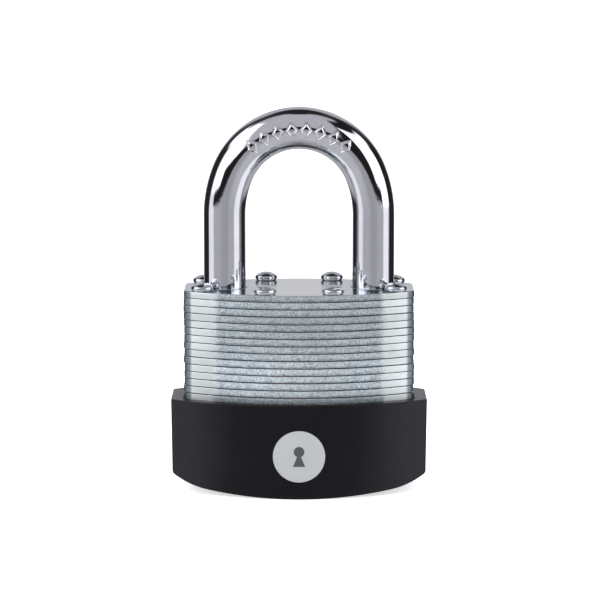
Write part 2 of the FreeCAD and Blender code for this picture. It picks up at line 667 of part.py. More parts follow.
def cap_block(name):
    """The strip that closes the chambers, and the slot it is pressed into."""
    return block(name, "-sizes.cap_width / 2", "sizes.cap_width / 2", "places.cap_low", "places.bible_reach",
                 pin_height(0) + " - sizes.cap_end_margin",
                 pin_height(PIN_STACKS - 1) + " + sizes.cap_end_margin")


def make_plug():
    """Plug with its head, keyway, chambers, clip groove and the tongue for the cam."""
    core = fuse("plug_core", [
        cylinder("plug_head", "sizes.plug_head_diameter / 2",
                 level(1) + " - sizes.run_gap - places.plug_low", z="places.plug_low"),
        cylinder("plug_round", "sizes.plug_diameter / 2", "places.plug_top - places.plug_low",
                 z="places.plug_low"),
        block("plug_tongue", "-sizes.tongue_length / 2", "sizes.tongue_length / 2",
              "-sizes.tongue_width / 2", "sizes.tongue_width / 2", "places.plug_top - sizes.seat_gap",
              "places.plug_top + sizes.tongue_height")])
    end = level(CLIP_PLATE - 2)
    half = "sizes.keyway_width / 2"
    tools = [
        block("keyway_upper", "-" + half, half, "-sizes.keyway_low / 2", "sizes.keyway_high", "0", end),
        block("keyway_lower", "-%s - sizes.keyway_ward" % half, "%s - sizes.keyway_ward" % half,
              "-sizes.keyway_low", "-sizes.keyway_low / 2 + sizes.keyway_ward", "0", end),
        cut("clip_groove",
            cylinder("groove_outer", "sizes.plug_diameter", "sizes.clip_thickness + sizes.seat_gap",
                     z=level(CLIP_PLATE - 1) + " + sizes.seat_gap"),
            [cylinder("groove_inner", "sizes.clip_groove / 2", "sizes.clip_thickness + sizes.seat_gap",
                      z=level(CLIP_PLATE - 1) + " + sizes.seat_gap")])]
    for index in range(PIN_STACKS):
        tools.append(cylinder("plug_chamber", "places.chamber",
                              "sizes.chamber_floor + sizes.plug_diameter / 2",
                              y="-sizes.chamber_floor", z=pin_height(index), along_y=True))
    return cut("plug", core, tools)


def make_plug_clip():
    """C-shaped clip in the plug's groove, above the shell."""
    low = level(CLIP_PLATE - 1) + " + 1.5 * sizes.seat_gap"
    ring = cylinder("clip_outer", "sizes.clip_diameter / 2", "sizes.clip_thickness", z=low)
    hole = cylinder("clip_inner", "sizes.clip_groove / 2 + sizes.run_gap", "sizes.clip_thickness", z=low)
    mouth = block("clip_mouth", "-sizes.clip_mouth / 2", "sizes.clip_mouth / 2", "-sizes.clip_diameter", "0",
                  level(CLIP_PLATE - 1), level(CLIP_PLATE))
    return cut("plug_clip", ring, [hole, mouth])


def make_cam():
    """Cam: a slotted shaft on the plug's tongue, and a disc with two pins for the bolts."""
    bottom = "(places.plug_top + sizes.seat_gap)"
    disc_low = "(%s + sizes.seat_gap)" % level(CAM_DISC_PLATES[0] - 1)
    disc_high = "(%s - sizes.seat_gap)" % level(CAM_DISC_PLATES[1])
    pieces = [
        cylinder("cam_shaft", "sizes.cam_shaft_diameter / 2", "%s - %s" % (disc_high, bottom), z=bottom),
        cylinder("cam_plate", "places.cam_disc", "%s - %s" % (disc_high, disc_low), z=disc_low)]
    for sign in ("", "-"):
        pieces.append(cylinder("cam_pin", "sizes.cam_pin_diameter / 2",
                               "places.bolt_low + places.bolt_thickness - sizes.step_gap - " + disc_low,
                               sign + "sizes.cam_pin_offset", sign + "sizes.cam_pin_offset", disc_low))
    slot = block("cam_slot", "-sizes.cam_shaft_diameter", "sizes.cam_shaft_diameter",
                 "-sizes.tongue_width / 2 - sizes.run_gap", "sizes.tongue_width / 2 + sizes.run_gap",
                 bottom + " - sizes.seat_gap", "places.plug_top + sizes.tongue_height + sizes.seat_gap")
    return cut("cam", fuse("cam_solid", pieces), [slot])


def make_key_pin(index):
    """Key pin: flat at the shear line, with a blunt cone where it meets a key."""
    number_in_row = index + 1
    body = new_body("key_pin_%d" % number_in_row)
    turned(body, (1, 0, 0), -90)
    put(body, "0", "places.shear_in - sizes.key_pin_%d_length" % number_in_row, pin_height(index))
    radius = "sizes.pin_diameter / 2"
    section = sketch_on(body, "half_section", "XZ_Plane")
    outline(section, [("0", "0"), (radius + " - sizes.pin_point", "0"), (radius, "sizes.pin_point"),
                      (radius, "sizes.key_pin_%d_length" % number_in_row),
                      ("0", "sizes.key_pin_%d_length" % number_in_row)])
    turning = body.newObject("PartDesign::Revolution", "turned")
    turning.Profile = section
    turning.ReferenceAxis = (section, ["V_Axis"])
    turning.Angle = 360
    return body


def make_driver_pin(index):
    """Driver pin, outside the shear line."""
    return cylinder("driver_pin_%d" % (index + 1), "sizes.pin_diameter / 2", "places.driver_length",
                    y="places.shear_out", z=pin_height(index), along_y=True)


def make_pin_spring(index):
    """Spring between a driver pin and the chamber cap."""
    length = "(places.cap_low - places.driver_end - sizes.run_gap)"
    body = coil("pin_spring_%d" % (index + 1), "sizes.pin_spring_diameter", "sizes.pin_spring_wire",
                length, 4)
    turned(body, (1, 0, 0), -90)
    return put(body, "0", "places.driver_end + sizes.run_gap / 2", pin_height(index))


# ---- the bolts

def make_bolt(label, angle):
    """Sliding bolt: an arm with an open slot for one cam pin, and the nose that locks a leg."""
    body = new_body(label)
    turned(body, (0, 0, 1), angle)
    put(body, z="places.bolt_low")
    plan = sketch_on(body, "plan")
    near = "sizes.cam_pin_offset - places.slot_half"
    far = "sizes.cam_pin_offset + places.slot_half"
    low = "sizes.bolt_arm_low"
    outline(plan, [
        (near + " - sizes.bolt_finger", low), (near, low), (near, "places.slot_end"),
        (far, "places.slot_end"), (far, low), ("places.nose_root", low),
        ("places.nose_root", "-sizes.bolt_nose_in"), ("places.bolt_tip", "-sizes.bolt_nose_in"),
        ("places.bolt_tip", "sizes.bolt_nose_out"), ("sizes.bolt_arm_reach", "sizes.bolt_nose_out"),
        ("sizes.bolt_arm_reach", "sizes.bolt_arm_width"),
        (near + " - sizes.bolt_finger", "sizes.bolt_arm_width")])
    pad(body, plan, "places.bolt_thickness")
    return body


# ---- the base cover and its badge

def cover_plan(sketch, inward):
    """Outer plan of the cover, smaller than its rim by an expression on every side."""
    lens(sketch, "(sizes.body_width / 2 + sizes.cover_end_wall - %s)" % inward,
         "(sizes.end_width / 2 + sizes.cover_end_step - %s / 2)" % inward,
         "(sizes.body_depth / 2 + sizes.cover_face_wall - %s)" % inward)


def cover_shell():
    """Moulded cup with drafted walls, an arched underside and the key opening."""
    body = new_body("cover_shell")
    base = sketch_on(body, "base_plan")
    cover_plan(base, "sizes.cover_draft")
    rim = sketch_on(body, "rim_plan", height="sizes.cover_height")
    cover_plan(rim, "0")
    walls = body.newObject("PartDesign::AdditiveLoft", "walls")
    walls.Profile = base
    walls.Sections = [rim]
    walls.Ruled = True
    doc.recompute()
    arch = sketch_on(body, "arch_section", "XZ_Plane")
    side = "(sizes.body_width / 2 + sizes.cover_end_wall)"
    end_z = "places.end_curve_z - sqrt(sizes.arch_end_radius ^ 2 - (%s - places.end_curve_x) ^ 2)" % side
    low = "-sizes.cover_floor"
    outline(arch, [("-" + side, low), (side, low), (side, end_z), ("places.arch_end_x", "places.arch_end_z"),
                   ("-places.arch_end_x", "places.arch_end_z"), ("-" + side, end_z)],
            {2: ("sizes.arch_end_radius", True), 3: ("sizes.arch_radius", True),
             4: ("sizes.arch_end_radius", True)})
    pocket(body, arch, "2 * sizes.body_depth", "arch", both=True)
    cavity = sketch_on(body, "cavity_plan", height="sizes.cover_floor")
    lens(cavity, "(sizes.body_width / 2 + sizes.cover_gap)", "sizes.end_width / 2",
         "(sizes.body_depth / 2 + sizes.cover_gap)")
    pocket(body, cavity, "sizes.cover_height", "cavity")
    key = sketch_on(body, "key_plan")
    circle(key, "sizes.key_opening / 2")
    pocket(body, key, "sizes.cover_floor", "key_opening")
    return body


def front_ring(name, inner, outer):
    """Upright ring about the axis of the cover's front curve, between two depths there."""
    behind = "places.cover_radius - places.cover_face"
    rings = [cylinder(name + kind, behind + " + " + depth, "sizes.cover_height", y=behind)
             for kind, depth in (("_outer", outer), ("_inner", inner))]
    return cut(name, rings[0], [rings[1]])


def badge_disc(name, gap, inner, outer):
    """Round disc that follows the cover's curved front."""
    disc = doc.addObject("Part::Common", name)
    disc.Base = cylinder(name + "_round", "sizes.badge_diameter / 2 + " + gap, "sizes.body_depth",
                         y="-sizes.body_depth", z="sizes.badge_height", along_y=True)
    disc.Tool = front_ring(name + "_ring", inner, outer)
    disc.Label = name
    return disc


def make_cover():
    """The cover with the badge's seat cut in its front."""
    seat = badge_disc("badge_seat", "sizes.run_gap", "places.cover_face - sizes.badge_recess",
                      "places.cover_face + sizes.cover_face_wall")
    return cut("base_cover", cover_shell(), [seat])


def make_badge():
    """The badge in its seat."""
    return badge_disc("badge", "0", "places.cover_face - sizes.badge_recess",
                      "places.cover_face + sizes.badge_proud")


# ---- checks and files

def check(parts):
    """Stop if any object failed, or if a sub-part has no sound solid."""
    for item in doc.Objects:
        if "Invalid" in item.State or "Error" in item.State:
            raise RuntimeError("%s: %s" % (item.Name, item.State))
    for part in parts:
        shape = part.Shape
        if shape.isNull() or not shape.isValid() or not shape.Solids:
            raise RuntimeError("%s has no sound solid" % part.Label)


def main():
    fill(sizes, SIZES, "")
    fill(places, PLACES, "=")
    parts = [make_plate(plate) for plate in range(1, PLATES + 1)]
    parts += [make_top_plate(), make_rivets(), make_shackle(), make_return_spring(), make_heel_pin()]
    parts += [make_shell(), cap_block("chamber_cap"), make_plug(), make_plug_clip(), make_cam()]
    for maker in (make_key_pin, make_driver_pin, make_pin_spring):
        parts += [maker(index) for index in range(PIN_STACKS)]
    parts += [make_bolt("bolt_right", 0), make_bolt("bolt_left", 180), make_cover(), make_badge()]
    doc.recompute()
    check(parts)
    os.makedirs("parts", exist_ok=True)
    for part in parts:
        part.Shape.exportStep("parts/%s.step" % part.Label)


main()
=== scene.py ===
"""Finished look of a laminated padlock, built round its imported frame: plates, rivets,
shackle, cover, badge and springs are made here, and the lock inside keeps its frame pieces."""

import json
import math
from math import cos, pi, sin, sqrt

import bmesh
import bpy
from bpy.props import FloatProperty, FloatVectorProperty, IntProperty, PointerProperty
from mathutils import Matrix, Vector


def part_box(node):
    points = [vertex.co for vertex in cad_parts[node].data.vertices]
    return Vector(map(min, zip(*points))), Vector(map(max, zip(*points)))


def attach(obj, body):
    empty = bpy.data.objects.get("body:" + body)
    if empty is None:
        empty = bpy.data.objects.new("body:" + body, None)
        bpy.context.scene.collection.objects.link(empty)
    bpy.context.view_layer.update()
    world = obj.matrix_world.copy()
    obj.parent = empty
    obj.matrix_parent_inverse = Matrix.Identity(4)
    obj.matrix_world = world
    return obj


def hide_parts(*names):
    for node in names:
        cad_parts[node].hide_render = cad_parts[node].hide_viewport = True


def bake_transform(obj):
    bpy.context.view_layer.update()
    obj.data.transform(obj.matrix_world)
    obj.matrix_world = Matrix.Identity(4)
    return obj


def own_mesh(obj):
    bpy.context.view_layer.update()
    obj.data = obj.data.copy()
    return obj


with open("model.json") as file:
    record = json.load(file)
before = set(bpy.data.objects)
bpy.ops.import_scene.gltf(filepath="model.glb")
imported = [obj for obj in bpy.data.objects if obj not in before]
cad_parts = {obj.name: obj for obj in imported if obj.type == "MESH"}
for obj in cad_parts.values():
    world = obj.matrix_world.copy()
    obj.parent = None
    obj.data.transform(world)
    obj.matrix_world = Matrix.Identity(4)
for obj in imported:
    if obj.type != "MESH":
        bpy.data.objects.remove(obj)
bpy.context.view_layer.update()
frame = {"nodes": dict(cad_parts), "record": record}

bl_info = {
    "name": "Laminated Padlock",
    "version": (1, 0, 0),
    "blender": (4, 5, 0),
    "location": "View3D > Sidebar > Padlock",
    "description": "Builds the finished pieces of a laminated padlock round its frame",
    "category": "Object",
}

MM = 0.001
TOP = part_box("top_plate")
LAST_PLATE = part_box("plate_24")
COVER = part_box("base_cover")
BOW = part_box("shackle")
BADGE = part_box("badge")
HEEL_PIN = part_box("heel_pin")
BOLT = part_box("bolt_right")
PITCH = LAST_PLATE[1].z - LAST_PLATE[0].z
BAR = BOW[1].y                       # radius of the shackle's bar
LEG_X = BOW[1].x - BAR
SHOWN_FROM = 11                      # lowest plate that shows above the cover's rim
TOE_FROM = 18                        # lowest plate that the toe leg enters
PLATES = 24
COVER_CREASE = 38.0                  # degrees past which an edge of the cover stays sharp


# ---- sizes and colours that a user may change

def length(name, text, default):
    """A size property, given in millimetres and kept in metres."""
    return FloatProperty(name=name, description=text, default=default * MM, min=0.0,
                         unit="LENGTH", subtype="DISTANCE", precision=5)


def colour(name, text, default):
    """A colour property, linear."""
    return FloatVectorProperty(name=name, description=text, default=default, size=3,
                               subtype="COLOR", min=0.0, max=1.0)


def in_degrees(name, text, degrees):
    """An angle property, given in degrees."""
    return FloatProperty(name=name, description=text, default=math.radians(degrees),
                         subtype="ANGLE", unit="ROTATION")


def plain_number(name, text, default, unit="NONE"):
    """A number that is kept as it is given."""
    return FloatProperty(name=name, description=text, default=default, precision=4, unit=unit)


def whole_number(name, text, default):
    """A count or a seed."""
    return IntProperty(name=name, description=text, default=default, min=0)


class PlateSettings(bpy.types.PropertyGroup):
    end_width: length("End width", "Flat end of a plate, front to back", 12.3)
    corner: length("Corner", "Radius between an end and a curved face", 2.4)
    leg_bore: length("Leg bore", "Radius of the holes for the legs", 4.75)
    drift: length("Drift", "How far a plate's rim may stand out of line", 0.14)
    wobble: length("Wobble", "How far the sheared edge wanders up and down", 0.11)
    seam: length("Seam", "Depth of the groove between two plates", 0.34)
    seed: whole_number("Seed", "Fixes the order of the drift", 7)
    torn: colour("Torn steel", "Middle of the sheared edges", (0.445, 0.50, 0.525))
    bright: colour("Bright steel", "Smooth ends of the sheared edges", (0.88, 0.93, 0.90))
    smooth_from: length("Smooth ends", "Where the smooth ends begin, from the middle", 17.6)


class TopSettings(bpy.types.PropertyGroup):
    edge: length("Edge", "Rounding of the top plate's rim", 0.3)
    zinc: colour("Zinc", "Bright plated face", (0.51, 0.59, 0.62))
    straw: colour("Straw tint", "Tint in the middle of the face", (0.76, 0.75, 0.71))


class RivetSettings(bpy.types.PropertyGroup):
    inner_x: length("Inner rivets", "Inner rivets from the middle", 7.3)
    inner_y: length("Inner row", "Inner rivets from the middle plane", 10.85)
    outer_x: length("Outer rivets", "Outer rivets from the middle", 20.9)
    outer_y: length("Outer row", "Outer rivets from the middle plane", 6.08)
    head: length("Head", "Radius of a head", 2.475)
    shank: length("Shank", "Radius of a shank", 1.5)
    rise: length("Rise", "Height of a dome", 1.9)
    rim: length("Rim", "Rounding of the rim round a dome", 0.5)
    seed: whole_number("Seed", "Fixes how far each rivet is turned", 3)
    steel: colour("Rivet steel", "Polished domes", (0.70, 0.72, 0.74))


class ShackleSettings(bpy.types.PropertyGroup):
    shoulder: length("Shoulder", "Bend between a leg and the crown", 24.5)
    shoulder_turn: in_degrees("Shoulder turn", "Angle of each shoulder bend", 22)
    toe_in: length("Toe leg", "Toe leg inside the body", 11.5)
    foot: length("Foot", "Foot under the heel leg's neck", 3.4)
    neck: length("Neck", "Radius of the heel leg's neck", 3.1)
    notch: length("Notch", "Depth of the notches for the bolts", 1.75)
    ramp: length("Ramp", "Slope below each notch", 3.65)
    marks: whole_number("Marks", "Plain lozenges punched in the crown", 8)
    mark_pitch: length("Mark pitch", "Distance between lozenges", 3.1)
    mark_width: length("Mark width", "Width of a lozenge along the bar", 2.0)
    mark_height: length("Mark height", "Height of a lozenge across the bar", 3.0)
    mark_stroke: length("Mark stroke", "Half the width of the punched line", 0.23)
    mark_depth: length("Mark depth", "Depth of the punched line", 0.16)
    chrome: colour("Chrome", "Plated bar", (0.79, 0.79, 0.82))


class CoverSettings(bpy.types.PropertyGroup):
    end_width: length("End width", "Flat end of the cover, front to back", 13.04)
    corner: length("Corner", "Radius of the upright corners", 0.7)
    draft: length("Draft", "How much narrower the base is than the rim", 0.22)
    edge: length("Edge", "Rounding of the lower edge", 0.5)
    gap: length("Gap", "Plates to the inside of the cover", 0.1)
    arch: length("Arch", "Radius of the underside", 150.0)
    end_curve: length("End curve", "Radius of the underside near the ends", 18.5)
    end_curve_width: length("End curve width", "Width of that tighter curve", 7.8)
    key_hole: length("Key opening", "Radius of the opening under the plug", 6.5)
    plastic: colour("Plastic", "Moulded cover", (0.0022, 0.0022, 0.003))
    # painted light: the colour the cover is painted towards its ends, lighter than the plastic
    painted_light_ends: colour("Painted light on the ends", "Cover towards its ends", (0.0085, 0.0078, 0.0105))


class BadgeSettings(bpy.types.PropertyGroup):
    rim: length("Rim", "Width of the raised rim", 0.22)
    mark: length("Mark", "Height of the plain keyhole mark", 4.4)
    ground: colour("Ground", "Badge face", (0.293, 0.305, 0.31))
    ink: colour("Ink", "Keyhole mark", (0.045, 0.05, 0.052))


class SpringSettings(bpy.types.PropertyGroup):
    shackle_wire: length("Shackle spring wire", "Wire of the spring under the heel leg", 1.0)
    shackle_turns: plain_number("Shackle spring turns", "Turns of that spring", 5.0)
    pin_wire: length("Pin spring wire", "Wire of the springs behind the driver pins", 0.3)
    pin_turns: plain_number("Pin spring turns", "Turns of those springs", 4.0)
    pins: whole_number("Pins", "Driver pins, each with its spring", 5)
    wire: colour("Wire", "Spring wire", (0.40, 0.41, 0.43))


class LockworkSettings(bpy.types.PropertyGroup):
    brass: colour("Bright brass", "Cylinder and pins where they shine", (0.80, 0.62, 0.30))
    tarnish: colour("Dull brass", "Cylinder and pins where they are dull", (0.62, 0.43, 0.17))
    steel: colour("Ground steel", "Bolts and retaining pin", (0.46, 0.46, 0.48))
    zinc: colour("Cast zinc", "Cam", (0.50, 0.51, 0.53))


class StageSettings(bpy.types.PropertyGroup):
    distance: length("Camera distance", "Camera in front of the middle", 625.2)
    height: length("Camera height", "Camera above the floor", 135.15)
    tilt: in_degrees("Tilt", "Camera turned down from level", 8.529)
    lens: plain_number("Lens", "Focal length in millimetres", 173.6, unit="CAMERA")
    shift: plain_number("Shift", "Sideways shift of the view, as a share of its width", 0.0016)
    floor: colour("Floor", "Pale floor", (0.86, 0.86, 0.86))


SETTINGS = {"plates": PlateSettings, "top": TopSettings, "rivets": RivetSettings,
            "shackle": ShackleSettings, "cover": CoverSettings, "badge": BadgeSettings,
            "springs": SpringSettings, "lockwork": LockworkSettings, "stage": StageSettings}


def setting(name):
    """The scene's settings for one part of the lock."""
    return getattr(bpy.context.scene, "padlock_" + name)


# ---- nodes

def add(tree, kind, inputs=None, **options):
    """A node with its options set and its inputs given as values or as sockets to link."""
    made = tree.nodes.new(kind)
    for name, value in options.items():
        setattr(made, name, value)
    for key, value in (inputs or {}).items():
        if isinstance(value, bpy.types.NodeSocket):
            tree.links.new(value, made.inputs[key])
        else:
            made.inputs[key].default_value = value
    return made


def calc(tree, operation, *values):
    """The result of a Math node."""
    return add(tree, "ShaderNodeMath", dict(enumerate(values)), operation=operation).outputs[0]


def ramp(tree, value, low, high, start=0.0, finish=1.0):
    """A smooth step of a value from low to high."""
    sockets = {"Value": value, "From Min": low, "From Max": high, "To Min": start, "To Max": finish}
    return add(tree, "ShaderNodeMapRange", sockets, interpolation_type="SMOOTHSTEP").outputs[0]


def blend(tree, factor, first, second):
    """Mix of two colours; they are the node's inputs 6 and 7, and its output 2."""
    made = add(tree, "ShaderNodeMix", {0: factor, 6: first, 7: second}, data_type="RGBA")
    return made.outputs[2]


def multiplied(tree, base, factor):
    """A colour made brighter or darker by a number."""
    made = add(tree, "ShaderNodeMix", {0: 1.0, 6: base}, data_type="RGBA", blend_type="MULTIPLY")
    grey = add(tree, "ShaderNodeCombineColor", {0: factor, 1: factor, 2: factor})
    tree.links.new(grey.outputs[0], made.inputs[7])
    return made.outputs[2]


def noise(tree, vector, scale, detail=3.0, roughness=0.55):
    """Noise from nought to one."""
    sockets = {"Vector": vector, "Scale": scale, "Detail": detail, "Roughness": roughness}
    return add(tree, "ShaderNodeTexNoise", sockets).outputs[0]


def rgba(values, gain=1.0):
    """A colour property as four numbers, brighter or darker by a gain."""
    return tuple(min(value * gain, 1.0) for value in values) + (1.0,)


def new_group(kind, name, inputs, outputs):
    """A node group, with the sockets of its input node and of its output node."""
    tree = bpy.data.node_groups.new(name, kind)
    for way, sockets in (("INPUT", inputs), ("OUTPUT", outputs)):
        for title, socket in sockets.items():
            tree.interface.new_socket(title, in_out=way, socket_type="NodeSocket" + socket)
    return tree, tree.nodes.new("NodeGroupInput").outputs, tree.nodes.new("NodeGroupOutput").inputs


def marks_group(name, detail, roughness):
    """Surface marks: noise spread by three numbers along X, Y and Z, as a value from nought
    to one and a bumped normal."""
    if name in bpy.data.node_groups:
        return bpy.data.node_groups[name]
    sizes = {"Vector": "Vector", "Density": "Vector", "Depth": "Float", "Distance": "Float"}
    tree, given, result = new_group("ShaderNodeTree", name, sizes, {"Value": "Float", "Normal": "Vector"})
    spread = add(tree, "ShaderNodeVectorMath", {0: given["Vector"], 1: given["Density"]},
                 operation="MULTIPLY")
    value = noise(tree, spread.outputs[0], 1.0, detail, roughness)
    bump = add(tree, "ShaderNodeBump", {"Strength": given["Depth"], "Height": value,
                                        "Distance": given["Distance"]})
    tree.links.new(value, result["Value"])
    tree.links.new(bump.outputs[0], result["Normal"])
    return tree


def surface_marks(tree, group, vector, density, depth, distance):
    """Surface marks placed in a material."""
    sizes = {"Vector": vector, "Density": density, "Depth": depth, "Distance": distance}
    return add(tree, "ShaderNodeGroup", sizes, node_tree=group).outputs


def grain(tree, vector, size, depth):
    """Fine even grain."""
    return surface_marks(tree, marks_group("Fine Grain", 2.0, 0.55), vector, (1 / size,) * 3, depth, size)


def streaks(tree, vector, density, depth):
    """Drawn or brushed streaks; density is how many lie in a metre along X, Y and Z."""
    return surface_marks(tree, marks_group("Streaks", 4.0, 0.6), vector, density, depth, 0.1 * MM)


def new_material(name):
    """An empty material: its tree, its shader, the object coordinates and the material."""
    material = bpy.data.materials.new(name)
    material.use_nodes = True
    tree = material.node_tree
    shader = tree.nodes["Principled BSDF"]
    place = tree.nodes.new("ShaderNodeTexCoord").outputs["Object"]
    return tree, shader, place, material


def set_sockets(shader, tree, **sockets):
    """Values or links for a shader's sockets; an underscore stands for a space."""
    for name, value in sockets.items():
        socket = shader.inputs[name.replace("_", " ")]
        if isinstance(value, bpy.types.NodeSocket):
            tree.links.new(value, socket)
        else:
            socket.default_value = value


# ---- materials

def sheared_edge(tree, settings, at, spot, tone, cloud):
    """Edge of a sheared plate: torn and mottled in the middle, smooth towards the ends, with
    painted shade at the corners and just above the cover, and a dark burr with painted shadow
    along its foot. Gives the colour, the mask of the smooth ends, the mottle and the tears."""
    wander, fade, grey_from, grey_to = 1.6 * MM, 2.6 * MM, 1.9 * MM, 1.2 * MM
    across = calc(tree, "ABSOLUTE", spot["X"])
    ragged = calc(tree, "MULTIPLY_ADD", noise(tree, at, 900.0), wander, across)
    ends = ramp(tree, ragged, settings.smooth_from, settings.smooth_from + fade)
    corners = ramp(tree, across, TOP[1].x - grey_from, TOP[1].x - grey_to)
    torn = streaks(tree, at, density=(600.0, 600.0, 3000.0), depth=0.2)
    specks = noise(tree, at, 3200.0, 1.0, 0.6)
    mixed = calc(tree, "MULTIPLY_ADD", torn["Value"], 0.3, calc(tree, "MULTIPLY", specks, 0.7))
    mottle = ramp(tree, mixed, 0.39, 0.61)
    rough_edge = blend(tree, mottle, rgba(settings.torn, 0.72), rgba(settings.torn, 1.29))
    # a dark burr of uneven height along each plate's foot, with painted shadow under it
    above = calc(tree, "DIVIDE", calc(tree, "SUBTRACT", spot["Z"], TOP[0].z), PITCH)
    foot = calc(tree, "MULTIPLY_ADD", noise(tree, at, 900.0, 4.0, 0.65), -0.7,
                calc(tree, "FRACT", above))
    burr_and_shadow = ramp(tree, foot, -0.25, 0.1, start=0.55, finish=1.02)
    # the lower plates and the left side are a little brighter
    half_way = (COVER[1].z + TOP[0].z) / 2
    brighter_low = ramp(tree, spot["Z"], half_way - 2.8 * MM, half_way + 2.2 * MM, start=1.08, finish=0.82)
    one_side = ramp(tree, spot["X"], -5 * MM, 13 * MM, start=1.0, finish=0.92)
    brighter_low_and_left = calc(tree, "MULTIPLY", brighter_low, one_side)
    rough_edge = multiplied(tree, rough_edge, calc(tree, "MULTIPLY", burr_and_shadow, brighter_low_and_left))
    smooth_edge = blend(tree, torn["Value"], rgba(settings.bright, 0.82), rgba(settings.bright))
    edge = blend(tree, ends, rough_edge, smooth_edge)
    # painted shade: the rounded corners are painted darker than the torn steel
    edge = blend(tree, corners, edge, rgba(settings.torn, 0.55))
    # every plate has its own tone, and painted shade lies just above the cover, where the black cover is
    # mirrored and blocks the light; less on the smooth ends
    shade = calc(tree, "MULTIPLY_ADD", tone, 0.16, calc(tree, "MULTIPLY_ADD", cloud, 0.5, 0.68))
    painted_cover_shade = ramp(tree, spot["Z"], COVER[1].z + 0.5 * MM, COVER[1].z + 2 * MM, start=0.5)
    painted_cover_shade = calc(tree, "MAXIMUM", painted_cover_shade, calc(tree, "MULTIPLY", ends, 0.88))
    edge = multiplied(tree, edge, calc(tree, "MULTIPLY", shade, painted_cover_shade))
    return edge, ends, mottle, torn


def plated_steel(settings, top):
    """Zinc-plated sheet: sheared edges, and bright flat faces with a faint straw tint in the
    middle. Each plate's own number moves its pattern and shifts its tone."""
    tree, shader, place, material = new_material("plated_steel")
    tone = add(tree, "ShaderNodeAttribute", attribute_name="plate_tone").outputs["Fac"]
    moved = add(tree, "ShaderNodeCombineXYZ", {"X": tone}).outputs[0]
    at = add(tree, "ShaderNodeVectorMath", {0: place, 1: moved}, operation="ADD").outputs[0]
    spot = add(tree, "ShaderNodeSeparateXYZ", {0: place}).outputs
    normal = tree.nodes.new("ShaderNodeTexCoord").outputs["Normal"]
    facing = add(tree, "ShaderNodeSeparateXYZ", {0: normal}).outputs
    flat = ramp(tree, calc(tree, "ABSOLUTE", facing["Z"]), 0.55, 0.85)
    cloud = noise(tree, place, 70.0, 2.0)
    edge, ends, mottle, torn = sheared_edge(tree, settings, at, spot, tone, cloud)
    tinted = ramp(tree, calc(tree, "ABSOLUTE", spot["X"]), 3 * MM, 13 * MM, start=1.0, finish=0.0)
    straw = calc(tree, "MULTIPLY", calc(tree, "MULTIPLY_ADD", cloud, 0.8, 0.4), tinted)
    face = blend(tree, straw, rgba(top.zinc), rgba(top.straw))
    rolled = streaks(tree, place, density=(60.0, 1500.0, 1500.0), depth=0.05)
    middle = calc(tree, "SUBTRACT", 1.0, calc(tree, "MAXIMUM", ends, flat))
    relief = add(tree, "ShaderNodeBump", {
        "Strength": 0.6, "Distance": 0.13 * MM, "Height": calc(tree, "MULTIPLY", mottle, middle),
        "Normal": torn["Normal"]})
    edge_shine = calc(tree, "MULTIPLY_ADD", middle, -0.08, calc(tree, "MULTIPLY_ADD", cloud, 0.1, 0.38))
    uneven = calc(tree, "MULTIPLY_ADD", cloud, 0.12, 0.05)
    face_shine = calc(tree, "MULTIPLY_ADD", rolled["Value"], 0.08, uneven)
    rough = add(tree, "ShaderNodeMix", {0: flat, 2: edge_shine, 3: face_shine}, data_type="FLOAT")
    set_sockets(shader, tree, Base_Color=blend(tree, flat, edge, face), Roughness=rough.outputs[0],
                Metallic=calc(tree, "MULTIPLY_ADD", middle, -0.3, 0.95), Normal=relief.outputs[0])
    return material


def polished_steel(name, tint, rough, size, depth, lines=0.0):
    """Polished or ground metal with slight smudges, a grain of a size and depth, and upright
    polishing lines of a strength."""
    tree, shader, place, material = new_material(name)
    fine = grain(tree, place, size, depth)
    smudge = noise(tree, place, 220.0, 2.0)
    base = blend(tree, smudge, rgba(tint, 0.92), rgba(tint, 1.06))
    if lines:
        drawn = streaks(tree, place, density=(2200.0, 2200.0, 45.0), depth=0.0)["Value"]
        base = multiplied(tree, base, calc(tree, "MULTIPLY_ADD", drawn, lines, 1 - lines / 2))
    uneven = calc(tree, "MULTIPLY_ADD", smudge, 0.5 * rough, 0.75 * rough)
    set_sockets(shader, tree, Base_Color=base, Metallic=1.0, Roughness=uneven, Normal=fine["Normal"])
    return material


def turned_brass(settings):
    """Turned brass with fine rings of tool marks."""
    tree, shader, place, material = new_material("turned_brass")
    rings = streaks(tree, place, density=(300.0, 300.0, 5000.0), depth=0.12)
    tarnish = noise(tree, place, 350.0, 3.0)
    base = blend(tree, tarnish, rgba(settings.tarnish), rgba(settings.brass))
    rough = calc(tree, "MULTIPLY_ADD", rings["Value"], 0.15, 0.22)
    set_sockets(shader, tree, Base_Color=base, Metallic=1.0, Roughness=rough, Normal=rings["Normal"])
    return material


def moulded_plastic(settings):
    """Matt black moulding with a fine spark-eroded grain, faint flow marks and painted light at its ends.
    """
    tree, shader, place, material = new_material("moulded_plastic")
    fine = grain(tree, place, size=0.3 * MM, depth=0.4)
    flow = noise(tree, place, 90.0, 3.0)
    # painted light: the cover is painted lighter towards its ends, over a wavy border
    across = calc(tree, "ABSOLUTE", add(tree, "ShaderNodeSeparateXYZ", {0: place}).outputs["X"])
    wavy = calc(tree, "MULTIPLY_ADD", flow, 6 * MM, across)
    ends = ramp(tree, wavy, 16 * MM, COVER[1].x - 1 * MM)
    base = blend(tree, flow, rgba(settings.plastic, 0.85), rgba(settings.plastic, 1.3))
    base = blend(tree, ends, base, rgba(settings.painted_light_ends))
    rough = calc(tree, "MULTIPLY_ADD", flow, 0.1, calc(tree, "MULTIPLY_ADD", fine["Value"], 0.08, 0.13))
    set_sockets(shader, tree, Base_Color=base, Roughness=rough, Normal=fine["Normal"])
    shader.inputs["Specular IOR Level"].default_value = 0.26
    return material


